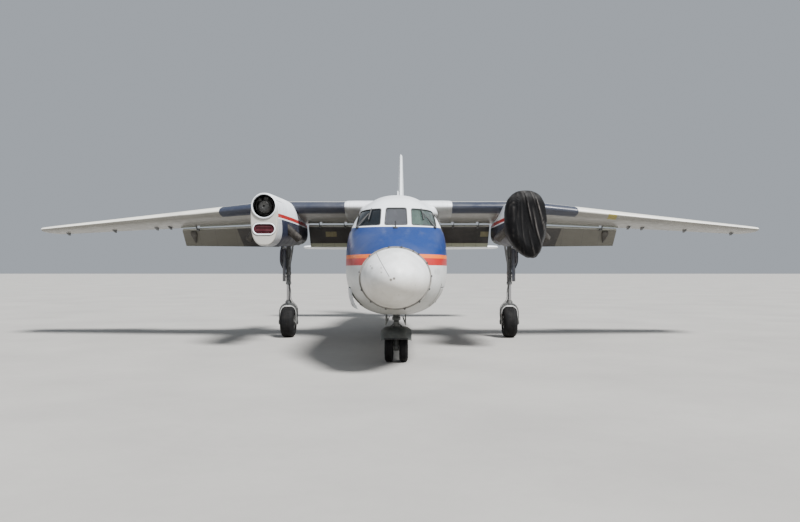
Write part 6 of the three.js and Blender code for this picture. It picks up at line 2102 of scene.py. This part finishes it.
fixed_pair(joined("wiper_left", *parts), dark_finish, "nose_paint")

foot = nose_place(-0.008, 2.282)
parts = [rod("mast", foot - Vector((0, 0, 0.01)), foot + Vector((0, -0.012, 0.1)), 0.014, 0.01, 20),
    block("mast_foot", (-0.048, 0.03), (foot.y + LENGTH / 2 - 0.05, foot.y + LENGTH / 2 + 0.04),
    (foot.z - 0.022, foot.z + 0.006), 0.005), rod("mast_head", foot + Vector((0, -0.035, 0.1)),
    foot + Vector((0, 0.012, 0.1)), 0.01, sides=20, round_by=0.003)]
fixed(joined("air_probe", *parts), dark_finish, "nose_paint")

# %% [markdown]
# ## Small things on the outside
# Tip lamps, beacons, aerials, fuel caps, dischargers and aileron brackets are small, but without
# them the surfaces look like a toy's.

# %% Lamps, aerials and caps
tip = on_chord(row_at(WING, 8.49), 0.03, 0.0)
for side, hand, finish in ((1, "left", red_lamp), (-1, "right", lamp("green_lamp", (0.02, 0.45, 0.16)))):
    place = Vector((side * 8.482, tip.y + 0.1, tip.z + 0.004))
    lens = turned(f"tip_lamp_{hand}", [(0.002, -0.075), (0.01, -0.066), (0.02, -0.045), (0.026, -0.015),
        (0.026, 0.02), (0.02, 0.052), (0.01, 0.072), (0.002, 0.08)], place, (0, 1, 0), 32)
    fixed(lens, finish, "wing_paint")


def blade(name, x, station, z, height, chord, lean, down=False):
    """A flat aerial of rounded section, leaning back."""
    sign = -1 if down else 1
    rings = []
    for share in (0, 0.08, 0.5, 0.85, 0.95, 1.0):
        c = chord * (1 - 0.38 * share) * (1 if share < 0.9 else 1.35 - share * 0.5)
        middle = at(x, station + lean * share, z + sign * height * share)
        thin = 0.12 * c if share < 1 else 0.05 * c
        rings.append([middle + Vector((thin * sin(a), c / 2 * cos(a), 0))
            for a in [2 * pi * i / 24 for i in range(24)]])
    return skin(name, rings)


aerials = [blade("aerial", 0, 4.55, 2.966, 0.24, 0.2, 0.12), blade("aerial", 0, 9.95, 2.966, 0.22, 0.18, 0.1),
    blade("aerial", 0, 4.1, 0.812, 0.16, 0.16, 0.07, True), blade("aerial", 0, 7.9, 0.812, 0.14, 0.14, 0.06,
    True)]
fixed(joined("aerials", *aerials), white_finish, "fuselage_paint")
beacons = []
for name, place, way in (("top_beacon", at(0, 9.35, 2.966), 1), ("belly_beacon", at(0, 5.1, 0.812), -1)):
    beacons.append(turned(name, [(0.002, -0.01), (0.058, -0.01), (0.06, 0.012), (0.052, 0.016), (0.05, 0.045),
        (0.036, 0.066), (0.002, 0.074)], place, (0, 0, way), 36))
fixed(joined("beacons", *beacons), red_lamp, "fuselage_paint")
caps = []
for x in (3.9, 5.4, 1.9):
    row = row_at(WING, x)
    for side in (1, -1):
        place = on_chord(row, 0.62, upper_at(row, WING_CAMBER, 0.62 / row[3]))
        place.x *= side
        caps.append(turned("fuel_cap", [(0.002, -0.004), (0.046, -0.004), (0.048, 0.002), (0.044, 0.004),
            (0.03, 0.004), (0.028, 0.0025), (0.002, 0.0025)], place, (0, sin(radians(row[5] - 4)), 1), 40))
fixed(joined("fuel_caps", *caps), shaft_finish, "wing_paint")

# %% Dischargers and aileron brackets
for hand, side in (("left", 1), ("right", -1)):
    wicks = []
    for x in (5.9, 6.7, 7.5, 7.95):
        row = row_at(WING, x)
        tail_end = on_chord(row, row[3], 0.0)
        start = Vector((tail_end.x * side, tail_end.y - 0.012, tail_end.z))
        wicks.append(rod("wick", start, start + Vector((0, 0.11, -0.01)), 0.0035, 0.0018, 8))
    place_piece(joined(f"wing_wicks_{hand}", *wicks), f"aileron_{hand}", dark_finish, "wing_paint")
    wicks = []
    for x in (1.2, 2.0, 2.8):
        row = row_at(TAILPLANE, x)
        start = Vector((side * x, row[1] + row[3] - 0.012 - LENGTH / 2, row[2]))
        wicks.append(rod("wick", start, start + Vector((0, 0.11, 0)), 0.0035, 0.0018, 8))
    place_piece(joined(f"tail_wicks_{hand}", *wicks), f"elevator_{hand}", dark_finish, "tail_paint")
    brackets = []
    for x in (5.5, 5.83, 6.86, 8.0):
        row = row_at(WING, x)
        low = lower_at(row, WING_CAMBER, 0.58)
        outline = [(0.46 * row[3], low + 0.012), (0.5 * row[3], low - 0.03), (0.6 * row[3], low - 0.065),
            (0.655 * row[3], low - 0.06), (0.665 * row[3], low - 0.02), (0.665 * row[3], low + 0.03)]
        places = []
        for along, off in round_corners(outline, 0.01, 3):
            place = on_chord(row, along, off)
            places.append(Vector(((place.x - 0.01) * side, place.y, place.z)))
        brackets.append(rounded(prism("bracket", places, (0.02 * side, 0, 0)), 0.003, 2, 50))
    fixed(joined(f"aileron_brackets_{hand}", *brackets), gear_finish, "wing_paint")

# %% [markdown]
# ## The floor, and the end
# A plain pale floor takes the shadows.

# %% Floor and its finish
bpy.ops.mesh.primitive_plane_add(size=600, location=(0, 0, 0))
floor = settle(named("floor"))
floor_recipe = Recipe("pale_floor")
tone = floor_recipe.spread(floor_recipe.noise(0.35, 6.0, 0.6), 0.35, 0.7)
floor.data.materials.append(floor_recipe.done(floor_recipe.mix(tone, (0.34, 0.33, 0.31), (0.29, 0.28, 0.265)),
    (0.7, 0.9)))
